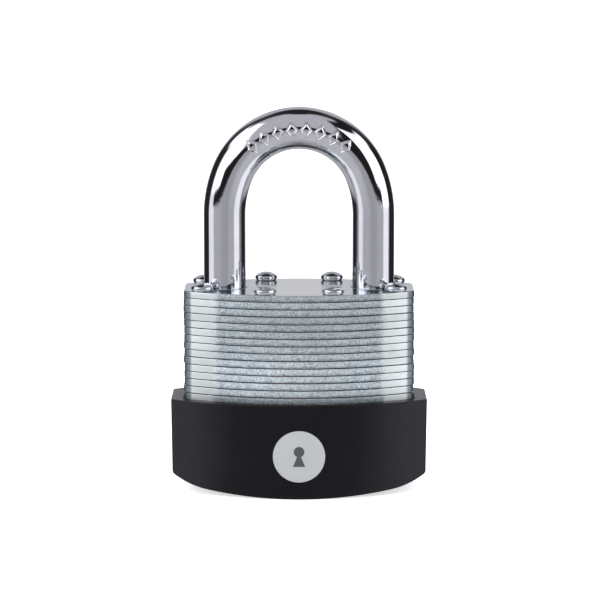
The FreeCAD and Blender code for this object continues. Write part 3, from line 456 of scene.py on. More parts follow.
def printed(name, tint, rough):
    """Satin printed face with a faint grain."""
    tree, shader, place, material = new_material(name)
    fine = grain(tree, place, size=0.3 * MM, depth=0.06)
    base = blend(tree, noise(tree, place, 300.0), rgba(tint, 0.97), rgba(tint, 1.04))
    uneven = calc(tree, "MULTIPLY_ADD", fine["Value"], 0.08, rough)
    set_sockets(shader, tree, Base_Color=base, Roughness=uneven, Normal=fine["Normal"])
    return material


# ---- meshes

def mesh_object(name, mesh, material=None):
    """An object at the origin that shows a mesh."""
    piece = bpy.data.objects.new(name, mesh)
    bpy.context.scene.collection.objects.link(piece)
    if material:
        mesh.materials.clear()
        mesh.materials.append(material)
    return piece


def from_bmesh(name, work, crease=35.0):
    """A mesh from a closed bmesh: faces out, smooth but for edges past the crease angle."""
    bmesh.ops.remove_doubles(work, verts=work.verts, dist=1e-7)
    bmesh.ops.recalc_face_normals(work, faces=work.faces)
    mesh = bpy.data.meshes.new(name)
    work.to_mesh(mesh)
    work.free()
    mesh.shade_smooth()
    mesh.set_sharp_from_angle(angle=math.radians(crease))
    return mesh


def flatten_shading(piece):
    """Flat faces keep flat shading beside their rounded edges."""
    modifier = piece.modifiers.new("even_normals", "WEIGHTED_NORMAL")
    modifier.keep_sharp = True


def finished(piece, body, slot, *nodes):
    """Attach a piece to the body it rides on and hide the frame nodes it stands for; the slot is not used.
    """
    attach(piece, body)
    if nodes:
        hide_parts(*nodes)
    return piece


def settle(piece):
    """Turn what the modifiers make into a plain mesh, and remove them."""
    shown = piece.evaluated_get(bpy.context.evaluated_depsgraph_get())
    mesh = bpy.data.meshes.new_from_object(shown)
    piece.modifiers.clear()
    piece.data = mesh
    return piece


def loft(work, loops, closed=False):
    """Quads along a row of loops of points; closed joins the last loop to the first. Gives
    the loops of vertices."""
    rings = [[work.verts.new(point) for point in loop] for loop in loops]
    followers = rings[1:] + rings[:1] if closed else rings[1:]
    for first, second in zip(rings, followers):
        for i in range(len(first)):
            j = (i + 1) % len(first)
            work.faces.new((first[i], first[j], second[j], second[i]))
    return rings


def cap(work, ring, tip):
    """Close a ring of vertices with a fan to a point."""
    middle = work.verts.new(tip)
    for i, vertex in enumerate(ring):
        work.faces.new((ring[i - 1], vertex, middle))


def fill(work, rings):
    """Triangles over the flat area between rings of vertices."""
    edges = [work.edges.get((ring[i - 1], ring[i])) for ring in rings for i in range(len(ring))]
    bmesh.ops.triangle_fill(work, use_beauty=True, use_dissolve=False, edges=edges)


def shift(x, y, z):
    """A matrix that moves by three sizes."""
    return Matrix.Translation((x, y, z))


def paint(node, material):
    """Give a frame node a material."""
    slots = frame["nodes"][node].data.materials
    slots.clear()
    slots.append(material)


def spaced(low, high, step):
    """Even steps from low to high, both included."""
    count = max(1, math.ceil((high - low) / step))
    return [low + (high - low) * i / count for i in range(count + 1)]


def quarter_turn(steps):
    """Angles of a quarter turn in even steps, both ends included."""
    return [pi / 2 * i / steps for i in range(steps + 1)]


def face_curve(half_width, half_end, half_depth):
    """Radius of the curved face through a flat end's edge and the middle."""
    bulge = half_depth - half_end
    return (half_width ** 2 + bulge ** 2) / (2 * bulge)


def plan_loop(half_width, radius, half_depth, corner, inset=0.0, steps=(10, 7, 90)):
    """Plan of the body as a loop of points: flat ends, rounded corners, curved faces.
    radius is that of the curved faces; the whole outline moves in by inset."""
    flat_steps, corner_steps, face_steps = steps
    centre = radius - half_depth
    width, reach = half_width - inset, radius - inset
    small = max(corner - inset, 0.05 * MM)
    corner_x = width - small
    corner_y = sqrt((reach - small) ** 2 - corner_x ** 2) - centre
    tilt = math.atan2(corner_x, corner_y + centre)
    quarter = []
    for i in range(flat_steps):
        quarter.append((width, corner_y * i / flat_steps))
    for i in range(corner_steps):
        angle = (pi / 2 - tilt) * i / corner_steps
        quarter.append((corner_x + small * cos(angle), corner_y + small * sin(angle)))
    half_face = face_steps // 2
    for i in range(half_face):
        angle = tilt * (1 - i / half_face)
        quarter.append((reach * sin(angle), reach * cos(angle) - centre))
    top = (0.0, reach - centre)
    upper = quarter + [top] + [(-x, y) for x, y in reversed(quarter[1:])]
    lower = [(-width, 0.0)] + [(-x, -y) for x, y in quarter[1:]] + [(0.0, -top[1])]
    lower += [(x, -y) for x, y in reversed(quarter[1:])]
    return upper + lower


def hole_loop(x, y, radius, steps=72):
    """A circle of points."""
    return [(x + radius * cos(2 * pi * i / steps), y + radius * sin(2 * pi * i / steps))
            for i in range(steps)]


def plate_mesh(name, thickness, rim, holes, settings, hole_edge):
    """A closed plate: a rim that follows pairs of height and inset, and round holes.
    The attribute rim is one on the outer edge and nought round the holes."""
    work = bmesh.new()
    weight = work.verts.layers.float.new("rim")
    radius = face_curve(TOP[1].x, settings.end_width / 2, TOP[1].y)
    outlines = []
    for height, inset in rim:
        plan = plan_loop(TOP[1].x, radius, TOP[1].y, settings.corner, inset)
        outlines.append([(x, y, height) for x, y in plan])
    rings = loft(work, outlines)
    for ring in rings:
        for vertex in ring:
            vertex[weight] = 1.0
    foot, head = [rings[0]], [rings[-1]]
    for x, y, bore in holes:
        levels = [(0.0, bore), (thickness - hole_edge, bore), (thickness, bore + hole_edge)]
        wall = loft(work, [[(px, py, z) for px, py in hole_loop(x, y, r)] for z, r in levels])
        foot.append(wall[0])
        head.append(wall[-1])
    fill(work, foot)
    fill(work, head)
    return from_bmesh(name, work, crease=50.0)


def seam_foot(seam):
    """Heights and insets of a plate's rim, from its foot to where its face runs straight."""
    return [(0.0, seam), (0.06 * MM, 0.5 * seam), (0.11 * MM, 0.12 * seam), (0.19 * MM, 0.0),
            (0.25 * MM, 0.0)]


def leg_holes(settings, both):
    """The holes for the heel leg, or for both legs."""
    holes = [(-LEG_X, 0.0, settings.leg_bore)]
    if both:
        holes.append((LEG_X, 0.0, settings.leg_bore))
    return holes


# ---- geometry nodes

def geometry_tree(name, **sizes):
    """A geometry node group that takes a geometry and named sizes; an underscore stands for
    a space."""
    inputs = {title.replace("_", " "): kind for title, kind in sizes.items()}
    return new_group("GeometryNodeTree", name, {"Geometry": "Geometry", **inputs, "Material": "Material"},
                     {"Geometry": "Geometry"})


def send_out(tree, geometry, given, result):
    """End a tree: give its geometry the material and send it out."""
    made = add(tree, "GeometryNodeSetMaterial", {"Geometry": geometry, "Material": given["Material"]})
    tree.links.new(made.outputs[0], result["Geometry"])
    return tree


def run_tree(piece, tree, values):
    """Give a piece a geometry node modifier and set its inputs."""
    modifier = piece.modifiers.new(tree.name, "NODES")
    modifier.node_group = tree
    for item in tree.interface.items_tree:
        if item.in_out == "INPUT" and item.name in values:
            modifier[item.identifier] = values[item.name]
    return settle(piece)


def scaled(tree, vector, factor):
    """A vector times a number."""
    return add(tree, "ShaderNodeVectorMath", {0: vector, "Scale": factor}, operation="SCALE").outputs[0]


def stack_tree():
    """Repeats a plate upwards. Each rim drifts a little out of line and wavers, and each
    plate carries its own number in the attribute plate_tone."""
    tree, given, result = geometry_tree("Plate Stack", Count="Int", Pitch="Float", Drift="Float",
                                        Wobble="Float", Seed="Int")
    step = add(tree, "ShaderNodeCombineXYZ", {"Z": given["Pitch"]}).outputs[0]
    points = add(tree, "GeometryNodeMeshLine", {"Count": given["Count"], "Offset": step})
    copies = add(tree, "GeometryNodeInstanceOnPoints", {"Points": points.outputs[0],
                                                        "Instance": given["Geometry"]})
    tone = add(tree, "FunctionNodeRandomValue", {"Seed": given["Seed"]}, data_type="FLOAT")
    toned = add(tree, "GeometryNodeStoreNamedAttribute",
                {"Geometry": copies.outputs[0], "Name": "plate_tone", "Value": tone.outputs[1]},
                data_type="FLOAT", domain="INSTANCE")
    aside = add(tree, "FunctionNodeRandomValue",
                {0: (-1.0, -1.0, 0.0), 1: (1.0, 1.0, 0.0), "Seed": given["Seed"]}, data_type="FLOAT_VECTOR")
    drifted = add(tree, "GeometryNodeStoreNamedAttribute",
                  {"Geometry": toned.outputs[0], "Name": "plate_drift",
                   "Value": scaled(tree, aside.outputs[0], given["Drift"])},
                  data_type="FLOAT_VECTOR", domain="INSTANCE")
    real = add(tree, "GeometryNodeRealizeInstances", {0: drifted.outputs[0]})
    rim = add(tree, "GeometryNodeInputNamedAttribute", {"Name": "rim"}, data_type="FLOAT").outputs[0]
    drift = add(tree, "GeometryNodeInputNamedAttribute", {"Name": "plate_drift"},
                data_type="FLOAT_VECTOR").outputs[0]
    place = add(tree, "GeometryNodeInputPosition").outputs[0]
    waver = add(tree, "ShaderNodeTexNoise", {"Vector": place, "Scale": 380.0, "Detail": 4.0}).outputs[0]
    lift = calc(tree, "MULTIPLY", calc(tree, "SUBTRACT", waver, 0.5), given["Wobble"])
    upward = add(tree, "ShaderNodeCombineXYZ", {"Z": lift}).outputs[0]
    both = add(tree, "ShaderNodeVectorMath", {0: drift, 1: upward}, operation="ADD").outputs[0]
    moved = add(tree, "GeometryNodeSetPosition", {"Geometry": real.outputs[0],
                                                  "Offset": scaled(tree, both, rim)})
    return send_out(tree, moved.outputs[0], given, result)


def rivet_tree():
    """Puts a rivet at each of eight places: two columns either side, front and back."""
    tree, given, result = geometry_tree("Rivets", Inner_X="Float", Inner_Y="Float", Outer_X="Float",
                                        Outer_Y="Float", Seed="Int")
    points = add(tree, "GeometryNodePoints", {"Count": 8})
    index = add(tree, "GeometryNodeInputIndex").outputs[0]

    def side(divisor):
        """One or minus one, changing every divisor points."""
        bit = calc(tree, "FLOORED_MODULO", calc(tree, "FLOOR", calc(tree, "DIVIDE", index, divisor)), 2.0)
        return calc(tree, "MULTIPLY_ADD", bit, 2.0, -1.0)

    outer = calc(tree, "MULTIPLY_ADD", side(4.0), 0.5, 0.5)

    def pick(inner_name, outer_name):
        """The inner or the outer size, by point."""
        gap = calc(tree, "SUBTRACT", given[outer_name], given[inner_name])
        return calc(tree, "MULTIPLY_ADD", gap, outer, given[inner_name])

    spot = add(tree, "ShaderNodeCombineXYZ", {
        "X": calc(tree, "MULTIPLY", pick("Inner X", "Outer X"), side(1.0)),
        "Y": calc(tree, "MULTIPLY", pick("Inner Y", "Outer Y"), side(2.0))})
    placed = add(tree, "GeometryNodeSetPosition", {"Geometry": points.outputs[0],
                                                   "Position": spot.outputs[0]})
    unturned, full_turn = (0.0, 0.0, 0.0), (0.0, 0.0, 6.28)
    spin = add(tree, "FunctionNodeRandomValue", {0: unturned, 1: full_turn, "Seed": given["Seed"]},
               data_type="FLOAT_VECTOR")
    copies = add(tree, "GeometryNodeInstanceOnPoints", {
        "Points": placed.outputs[0], "Instance": given["Geometry"], "Rotation": spin.outputs[0]})
    real = add(tree, "GeometryNodeRealizeInstances", {0: copies.outputs[0]})
    return send_out(tree, real.outputs[0], given, result)


def spring_tree():
    """Winds a wire into a coil that rises along Z."""
    tree, given, result = geometry_tree("Coil Spring", Turns="Float", Radius="Float", Rise="Float",
                                        Wire_Radius="Float")
    path = add(tree, "GeometryNodeCurveSpiral", {
        "Resolution": 32, "Rotations": given["Turns"], "Start Radius": given["Radius"],
        "End Radius": given["Radius"], "Height": given["Rise"]})
    section = add(tree, "GeometryNodeCurvePrimitiveCircle",
                  {"Resolution": 14, "Radius": given["Wire Radius"]})
    wire = add(tree, "GeometryNodeCurveToMesh", {
        "Curve": path.outputs[0], "Profile Curve": section.outputs[0], "Fill Caps": True})
    real = add(tree, "GeometryNodeRealizeInstances", {0: wire.outputs[0]})
    return send_out(tree, real.outputs[0], given, result)


# ---- operators

class PADLOCK_OT_plates(bpy.types.Operator):
    """Build the plates that show between the cover and the top plate"""
    bl_idname = "padlock.plates"
    bl_label = "Plates"

    def execute(self, context):
        settings = setting("plates")
        material = plated_steel(settings, setting("top"))
        seam = settings.seam
        rim = seam_foot(seam) + [
            (0.5 * PITCH, 0.0), (PITCH - 0.24 * MM, 0.0), (PITCH - 0.18 * MM, 0.0),
            (PITCH - 0.1 * MM, 0.1 * seam), (PITCH - 0.05 * MM, 0.4 * seam), (PITCH, seam)]
        tree = stack_tree()
        for name, first, last in (("plates_lower", SHOWN_FROM, TOE_FROM - 1),
                                  ("plates_upper", TOE_FROM, PLATES)):
            holes = leg_holes(settings, both=first == TOE_FROM)
            mesh = plate_mesh(name, PITCH, rim, holes, settings, hole_edge=0.05 * MM)
            piece = mesh_object(name, mesh, material)
            run_tree(piece, tree, {"Count": last - first + 1, "Pitch": PITCH, "Drift": settings.drift,
                                   "Wobble": settings.wobble, "Seed": settings.seed + first,
                                   "Material": material})
            piece.data.transform(shift(0, 0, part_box("plate_%02d" % first)[0].z))
            flatten_shading(piece)
            finished(piece, "body", "plate_steel", *["plate_%02d" % k for k in range(first, last + 1)])
        for number in range(1, SHOWN_FROM):
            paint("plate_%02d" % number, material)
        return {"FINISHED"}


class PADLOCK_OT_top_plate(bpy.types.Operator):
    """Build the bright top plate"""
    bl_idname = "padlock.top_plate"
    bl_label = "Top plate"

    def execute(self, context):
        settings, plates = setting("top"), setting("plates")
        thickness = TOP[1].z - TOP[0].z
        rim = seam_foot(plates.seam) + [(thickness - settings.edge - 0.06 * MM, 0.0)]
        for angle in quarter_turn(6):
            rim.append((thickness - settings.edge * (1 - sin(angle)), settings.edge * (1 - cos(angle))))
        holes = leg_holes(plates, both=True)
        mesh = plate_mesh("top_plate_look", thickness, rim, holes, plates, hole_edge=0.25 * MM)
        mesh.transform(shift(0, 0, TOP[0].z))
        piece = mesh_object("top_plate_look", mesh, plated_steel(plates, settings))
        flatten_shading(piece)
        finished(piece, "body", "zinc_plate", "top_plate")
        return {"FINISHED"}


class PADLOCK_OT_rivets(bpy.types.Operator):
    """Build the eight rivets"""
    bl_idname = "padlock.rivets"
    bl_label = "Rivets"

    def execute(self, context):
        settings = setting("rivets")
        low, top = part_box("rivets")[0].z, TOP[1].z
        head, rise, rim = settings.head, settings.rise, settings.rim
        # a flared tail, a shank, a head that spreads to its rim, and a dome
        widest, flare, rim_turn = 0.38 * rise, 0.35 * MM, 0.9
        profile = [(settings.shank + flare, low), (settings.shank, low + flare),
                   (settings.shank, top - 0.01 * MM)]
        for angle in quarter_turn(6):
            profile.append((head * (0.8 + 0.2 * sin(angle)), top + widest * (1 - cos(angle))))
        for i in range(1, 6):
            angle = rim_turn * i / 5
            profile.append((head - rim * (1 - cos(angle)), top + widest + rim * sin(angle)))
        edge, shoulder = profile[-1]
        for i in range(1, 15):
            share_out = 1 - i / 15
            profile.append((edge * share_out, top + rise - (top + rise - shoulder) * share_out ** 2))
        work = bmesh.new()
        rings = loft(work, [[(x, y, z) for x, y in hole_loop(0, 0, r, 56)] for r, z in profile])
        cap(work, rings[0], (0, 0, low))
        cap(work, rings[-1], (0, 0, top + rise))
        material = polished_steel("rivet_steel", settings.steel, 0.13, size=0.6 * MM, depth=0.05)
        piece = mesh_object("rivets_look", from_bmesh("rivets_look", work, crease=75.0), material)
        run_tree(piece, rivet_tree(), {
            "Inner X": settings.inner_x, "Inner Y": settings.inner_y, "Outer X": settings.outer_x,
            "Outer Y": settings.outer_y, "Seed": settings.seed, "Material": material})
        finished(piece, "body", "rivet_steel", "rivets")
        return {"FINISHED"}


# ---- the shackle

def bow_stations(settings):
    """Half of the bow, from the crown to the top of a leg: for each station its centre, the
    direction away from the bow's middle and the distance from the crown along the bar."""
    turn, side = settings.shoulder_turn, settings.shoulder - LEG_X
    crown = settings.shoulder - side / cos(turn)
    crown_z = BOW[1].z - BAR - crown
    legs_top = crown_z - side * math.tan(turn)
    quarter = crown * (pi / 2 - turn)
    legs = quarter + settings.shoulder * turn
    marked, fine, coarse = (settings.marks + 1) / 2 * settings.mark_pitch, 0.1 * MM, 0.45 * MM
    distances = spaced(0.0, marked, fine) + spaced(marked, legs, coarse)[1:]
    stations = []
    for distance in distances:
        if distance <= quarter:
            angle = distance / crown
            centre = Vector((crown * sin(angle), 0, crown_z + crown * cos(angle)))
        else:
            angle = pi / 2 - turn + (distance - quarter) / settings.shoulder
            centre = Vector((settings.shoulder * sin(angle) - side, 0,
                             legs_top + settings.shoulder * cos(angle)))
        stations.append((centre, Vector((sin(angle), 0, cos(angle))), distance))
    return stations


def leg_profile(settings, heel):
    """Heights and bar radii down a leg, with the depth cut from its inner side."""
    turn, side = settings.shoulder_turn, settings.shoulder - LEG_X
    crown = settings.shoulder - side / cos(turn)
    start = BOW[1].z - BAR - crown - side * math.tan(turn)
    play, bevel = 0.15 * MM, 0.8 * MM
    notch_high, notch_low = BOLT[1].z + play, BOLT[0].z - play
    levels = [(z, BAR, 0.0) for z in reversed(spaced(notch_high, start, 0.9 * MM))][1:]
    levels += [(z, BAR, settings.notch) for z in reversed(spaced(notch_low, notch_high, 0.5 * MM))]
    for z in reversed(spaced(notch_low - settings.ramp, notch_low, 0.3 * MM)[:-1]):
        levels.append((z, BAR, settings.notch * (1 - (notch_low - z) / settings.ramp)))
    if heel:
        neck_high, neck_low = HEEL_PIN[1].z + 0.5 * MM, BOW[0].z + settings.foot
        levels += [(neck_high, BAR, 0.0), (neck_high, settings.neck, 0.0), (neck_low, settings.neck, 0.0),
                   (neck_low, BAR, 0.0), (BOW[0].z + bevel, BAR, 0.0), (BOW[0].z, BAR - bevel, 0.0)]
    else:
        toe = TOP[1].z - settings.toe_in
        levels += [(toe + bevel, BAR, 0.0), (toe, BAR - bevel, 0.0)]
    return levels


def section_angles():
    """Angles round the bar from its front, close together where the punch marks are."""
    marked, fine, coarse = 0.5, 0.022, 0.075
    return spaced(-marked, marked, fine) + spaced(marked, 2 * pi - marked, coarse)[1:-1]


def punch(settings, distance, angle):
    """Depth of the punched lozenges at a place on the bar."""
    pitch = settings.mark_pitch
    nearest = round(distance / pitch - 0.5) + 0.5
    if abs(nearest) > settings.marks / 2:
        return 0.0
    along = abs(distance - nearest * pitch) / (settings.mark_width / 2)
    across = abs(BAR * angle) / (settings.mark_height / 2)
    slope = math.hypot(2 / settings.mark_width, 2 / settings.mark_height)
    off = abs(along + across - 1) / slope / settings.mark_stroke
    return settings.mark_depth * (1 - off ** 2) ** 2 if off < 1 else 0.0


class PADLOCK_OT_shackle(bpy.types.Operator):
    """Build the shackle: one bar from the heel leg over the crown to the toe leg"""
    bl_idname = "padlock.shackle"
    bl_label = "Shackle"

    def execute(self, context):
        settings = setting("shackle")
        half = bow_stations(settings)
        angles = section_angles()

        def section(centre, outward, radius, cut, distance):
            """One ring of the bar; cut flattens its inner side."""
            loop = []
            for angle in angles:
                signed = angle if angle < pi else angle - 2 * pi
                reach = radius
                if distance is not None:
                    reach -= punch(settings, distance, signed)
                out = max(reach * sin(angle), cut - BAR) if cut > 0 else reach * sin(angle)
                loop.append(centre + outward * out + Vector((0, -reach * cos(angle), 0)))
            return loop

        loops = []
        for z, radius, cut in reversed(leg_profile(settings, True)):
            loops.append(section(Vector((-LEG_X, 0, z)), Vector((-1, 0, 0)), radius, cut, None))
        for sign, run in ((-1, reversed(half[1:])), (1, half)):
            for centre, outward, distance in run:
                flip = Vector((sign, 1, 1))
                loops.append(section(centre * flip, outward * flip, BAR, 0.0, sign * distance))
        for z, radius, cut in leg_profile(settings, False):
            loops.append(section(Vector((LEG_X, 0, z)), Vector((1, 0, 0)), radius, cut, None))
        work = bmesh.new()
        rings = loft(work, loops)
        cap(work, rings[0], (-LEG_X, 0, BOW[0].z))
        cap(work, rings[-1], (LEG_X, 0, TOP[1].z - settings.toe_in))
        mesh = from_bmesh("shackle_look", work, crease=40.0)
        material = polished_steel("shackle_chrome", settings.chrome, 0.05, size=1.2 * MM, depth=0.006,
                                  lines=0.2)
        piece = mesh_object("shackle_look", mesh, material)
        finished(piece, "shackle", "shackle_chrome", "shackle")
        return {"FINISHED"}


# ---- the cover and its badge

def cover_radius(settings):
    """Radius of the cover's curved faces at its rim."""
    return face_curve(COVER[1].x, settings.end_width / 2, COVER[1].y)


def arch_height(settings, x):
    """Height of the underside at a distance from the middle."""
    x = abs(x)
    bend = COVER[1].x - settings.end_curve_width
    if x <= bend:
        return settings.arch - sqrt(settings.arch ** 2 - x ** 2)
    centre_x = bend * (1 - settings.end_curve / settings.arch)
    start = settings.arch - sqrt(settings.arch ** 2 - bend ** 2)
    centre_z = start + sqrt(settings.end_curve ** 2 - (bend - centre_x) ** 2)
    return centre_z - sqrt(settings.end_curve ** 2 - (x - centre_x) ** 2)


def front_depth(settings, x, z):
    """How far in front of the middle plane the cover's face lies."""
    radius = cover_radius(settings)
    inset = settings.draft * (1 - z / COVER[1].z)
    return sqrt((radius - inset) ** 2 - x ** 2) - (radius - COVER[1].y)


def cover_mesh(settings):
    """The moulded cup: arched underside, drafted walls, rim, cavity and key opening."""
    radius, edge = cover_radius(settings), settings.edge
    steps = (10, 5, 110)
    cavity_x, cavity_y = TOP[1].x + settings.gap, TOP[1].y + settings.gap
    inside_radius = face_curve(cavity_x, setting("plates").end_width / 2, cavity_y)

    def outer(inset):
        """Outer plan moved in by an inset."""
        return plan_loop(COVER[1].x, radius, COVER[1].y, settings.corner, inset, steps)

    def inner(grow):
        """Cavity plan, opened by an amount."""
        return plan_loop(cavity_x, inside_radius, cavity_y, 0.4 * MM, -grow, steps)

    def key_ring(grow):
        """Key opening with a point for every point of the plan."""
        loop = []
        for x, y in outer(0.0):
            angle = math.atan2(y / COVER[1].y, x / COVER[1].x)
            reach = settings.key_hole + grow
            loop.append((reach * cos(angle), reach * sin(angle)))
        return loop

    def between(first, second, mix):
        """A loop part of the way from one to another."""
        return [(a[0] + (b[0] - a[0]) * mix, a[1] + (b[1] - a[1]) * mix) for a, b in zip(first, second)]

    floor, rim_z = TOP[0].z - PLATES * PITCH, COVER[1].z
    rim_edge, key_bevel = 0.22 * MM, 0.3 * MM
    loops = []
    # underside, from the key opening out to the lower edge
    base = outer(settings.draft + edge)
    for mix in spaced(0.0, 1.0, 1 / 12):
        loops.append([(x, y, arch_height(settings, x)) for x, y in between(key_ring(key_bevel), base, mix)])
    for angle in quarter_turn(5)[1:]:
        ring = outer(settings.draft + edge * (1 - sin(angle)))
        loops.append([(x, y, arch_height(settings, x) + edge * (1 - cos(angle))) for x, y in ring])
    # walls and rim
    for mix in spaced(0.0, 1.0, 1 / 16)[1:]:
        ring = outer(settings.draft * (1 - mix))
        loops.append([(x, y, (1 - mix) * (arch_height(settings, x) + edge) + mix * (rim_z - rim_edge))
                      for x, y in ring])
    for angle in quarter_turn(4)[1:]:
        height = rim_z - rim_edge * (1 - sin(angle))
        loops.append([(x, y, height) for x, y in outer(rim_edge * (1 - cos(angle)))])
    # cavity, floor and key opening
    for grow, z in ((rim_edge, rim_z), (0.3 * rim_edge, rim_z - 0.3 * rim_edge), (0.0, rim_z - rim_edge),
                    (0.0, floor)):
        loops.append([(x, y, z) for x, y in inner(grow)])
    for mix in (0.5, 1.0):
        loops.append([(x, y, floor) for x, y in between(inner(0.0), key_ring(0.0), mix)])
    loops.append([(x, y, arch_height(settings, x) + key_bevel) for x, y in key_ring(0.0)])
    work = bmesh.new()
    loft(work, loops, closed=True)
    return from_bmesh("base_cover_look", work, COVER_CREASE)


def badge_disc(name, settings, profile):
    """A closed disc that follows the cover's front; profile gives radii and how far each
    ring stands proud of the front."""
    middle = (BADGE[0].z + BADGE[1].z) / 2

    def on_front(x, z, proud):
        """A point that stands proud of the cover's front."""
        return x, -front_depth(settings, x, z) - proud, z

    work = bmesh.new()
    rings = loft(work, [[on_front(x, z, proud) for x, z in hole_loop(0, middle, radius, 96)]
                        for radius, proud in profile])
    cap(work, rings[0], on_front(0, middle, profile[0][1]))
    cap(work, rings[-1], on_front(0, middle, profile[-1][1]))
    return from_bmesh(name, work, crease=40.0)


class PADLOCK_OT_cover(bpy.types.Operator):
    """Build the moulded base cover"""
    bl_idname = "padlock.cover"
    bl_label = "Base cover"

    def execute(self, context):
        settings = setting("cover")
        piece = mesh_object("base_cover_look", cover_mesh(settings), moulded_plastic(settings))
        play, sunk, clear = 0.08 * MM, 0.35 * MM, 0.6 * MM
        seat = (BADGE[1].x - BADGE[0].x) / 2 + play
        depths = [(seat * share, -sunk) for share in (0.25, 0.5, 0.75, 1.0)] + [(seat, clear)]
        cutter = mesh_object("seat_cutter", badge_disc("seat_cutter", settings, depths))
        groove = piece.modifiers.new("seat", "BOOLEAN")
        groove.object = cutter
        groove.operation = "DIFFERENCE"
        settle(piece)
        bpy.data.objects.remove(cutter)
        piece.data.set_sharp_from_angle(angle=math.radians(COVER_CREASE))
        flatten_shading(piece)
        finished(piece, "body", "cover_plastic", "base_cover")
        return {"FINISHED"}


class PADLOCK_OT_badge(bpy.types.Operator):
    """Build the round badge with its plain keyhole mark"""
    bl_idname = "padlock.badge"
    bl_label = "Badge"

    def execute(self, context):
        settings, cover = setting("badge"), setting("cover")
        radius, sunk, rounding = (BADGE[1].x - BADGE[0].x) / 2, 0.34 * MM, 0.05 * MM
        side, inside = radius - 0.02 * MM, radius - settings.rim
        high = -BADGE[0].y - front_depth(cover, 0, BADGE[1].z)
        low = 0.4 * high
        profile = [(radius * share, -sunk) for share in (0.3, 0.7)]
        profile += [(side, -sunk), (side, 0.5 * high), (side - rounding, high), (inside, high),
                    (inside - rounding, low)]
        profile += [(radius * share, low) for share in (0.85, 0.7, 0.55, 0.4, 0.25, 0.1)]
        disc = mesh_object("badge_look", badge_disc("badge_look", cover, profile),
                           printed("badge_face", settings.ground, rough=0.35))
        finished(disc, "body", "badge_print", "badge")
        mark = mesh_object("badge_mark", self.keyhole(settings, cover, low),
                           printed("badge_ink", settings.ink, rough=0.4))
        finished(mark, "body", "badge_print")
        return {"FINISHED"}

    def keyhole(self, settings, cover, low):
        """A plain keyhole: a round over a flared skirt, on the badge's curved face."""
        height = settings.mark
        eye, skirt, half_thick = 0.26 * height, 0.3 * height, 0.03 * MM
        outline, start, steps = [], -0.38 * pi, 40
        for i in range(steps + 1):
            angle = start + (pi - 2 * start) * i / steps
            outline.append((eye * cos(angle), height / 2 - eye + eye * sin(angle)))
        for x in spaced(-skirt, skirt, 0.25 * MM):
            outline.append((x, -height / 2))
        middle = (BADGE[0].z + BADGE[1].z) / 2
        loops = [[(x, -front_depth(cover, x, middle + z) - proud, middle + z) for x, z in outline]
                 for proud in (low - half_thick, low + half_thick)]
        work = bmesh.new()
        for ring in loft(work, loops):
            fill(work, [ring])
        return from_bmesh("badge_mark", work, crease=40.0)


class PADLOCK_OT_springs(bpy.types.Operator):
    """Wind the springs in their places"""
    bl_idname = "padlock.springs"
    bl_label = "Springs"

    def execute(self, context):
        settings = setting("springs")
        material = polished_steel("spring_wire", settings.wire, 0.22, size=0.3 * MM, depth=0.06)
        tree = spring_tree()
        low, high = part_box("shackle_spring")
        spring = self.wound(tree, "shackle_spring", settings.shackle_wire, settings.shackle_turns, material,
                            high.z - low.z, high.x - low.x, shift(-LEG_X, 0, low.z))
        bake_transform(spring)
        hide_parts("shackle_spring")
        for number in range(1, settings.pins + 1):
            node, joint = "pin_spring_%d" % number, "driver_pin_%d_slide" % number
            low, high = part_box(node)
            middle = (low.z + high.z) / 2
            turned = shift(0, low.y, middle) @ Matrix.Rotation(-pi / 2, 4, "X")
            spring = self.wound(tree, node, settings.pin_wire, settings.pin_turns, material,
                                high.y - low.y, high.x - low.x, turned)
            finished(spring, "body", "spring_steel", node)
            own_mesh(spring)
        return {"FINISHED"}

    def wound(self, tree, node, wire, turns, material, span, outside, place):
        """One spring of a span and an outside diameter, moved to its place."""
        piece = mesh_object(node + "_look", bpy.data.meshes.new(node + "_look"))
        run_tree(piece, tree, {"Turns": turns, "Radius": (outside - wire) / 2, "Rise": span - wire,
                               "Wire Radius": wire / 2, "Material": material})
        piece.data.transform(place @ shift(0, 0, wire / 2))
        piece.data.shade_smooth()
        return piece


class PADLOCK_OT_lockwork(bpy.types.Operator):
    """Finish the pieces inside the lock, which keep their frame shapes"""
    bl_idname = "padlock.lockwork"
    bl_label = "Lock inside"

    def execute(self, context):
        settings = setting("lockwork")
        finishes = {
            "brass": turned_brass(settings),
            "lock_steel": polished_steel("ground_steel", settings.steel, 0.3, size=0.2 * MM, depth=0.12),
            "cam_metal": polished_steel("cast_zinc", settings.zinc, 0.42, size=0.4 * MM, depth=0.2)}
        for part in frame["record"]["subparts"]:
            if part["material_slot"] in finishes:
                paint(part["node"], finishes[part["material_slot"]])
        return {"FINISHED"}


# ---- the stage

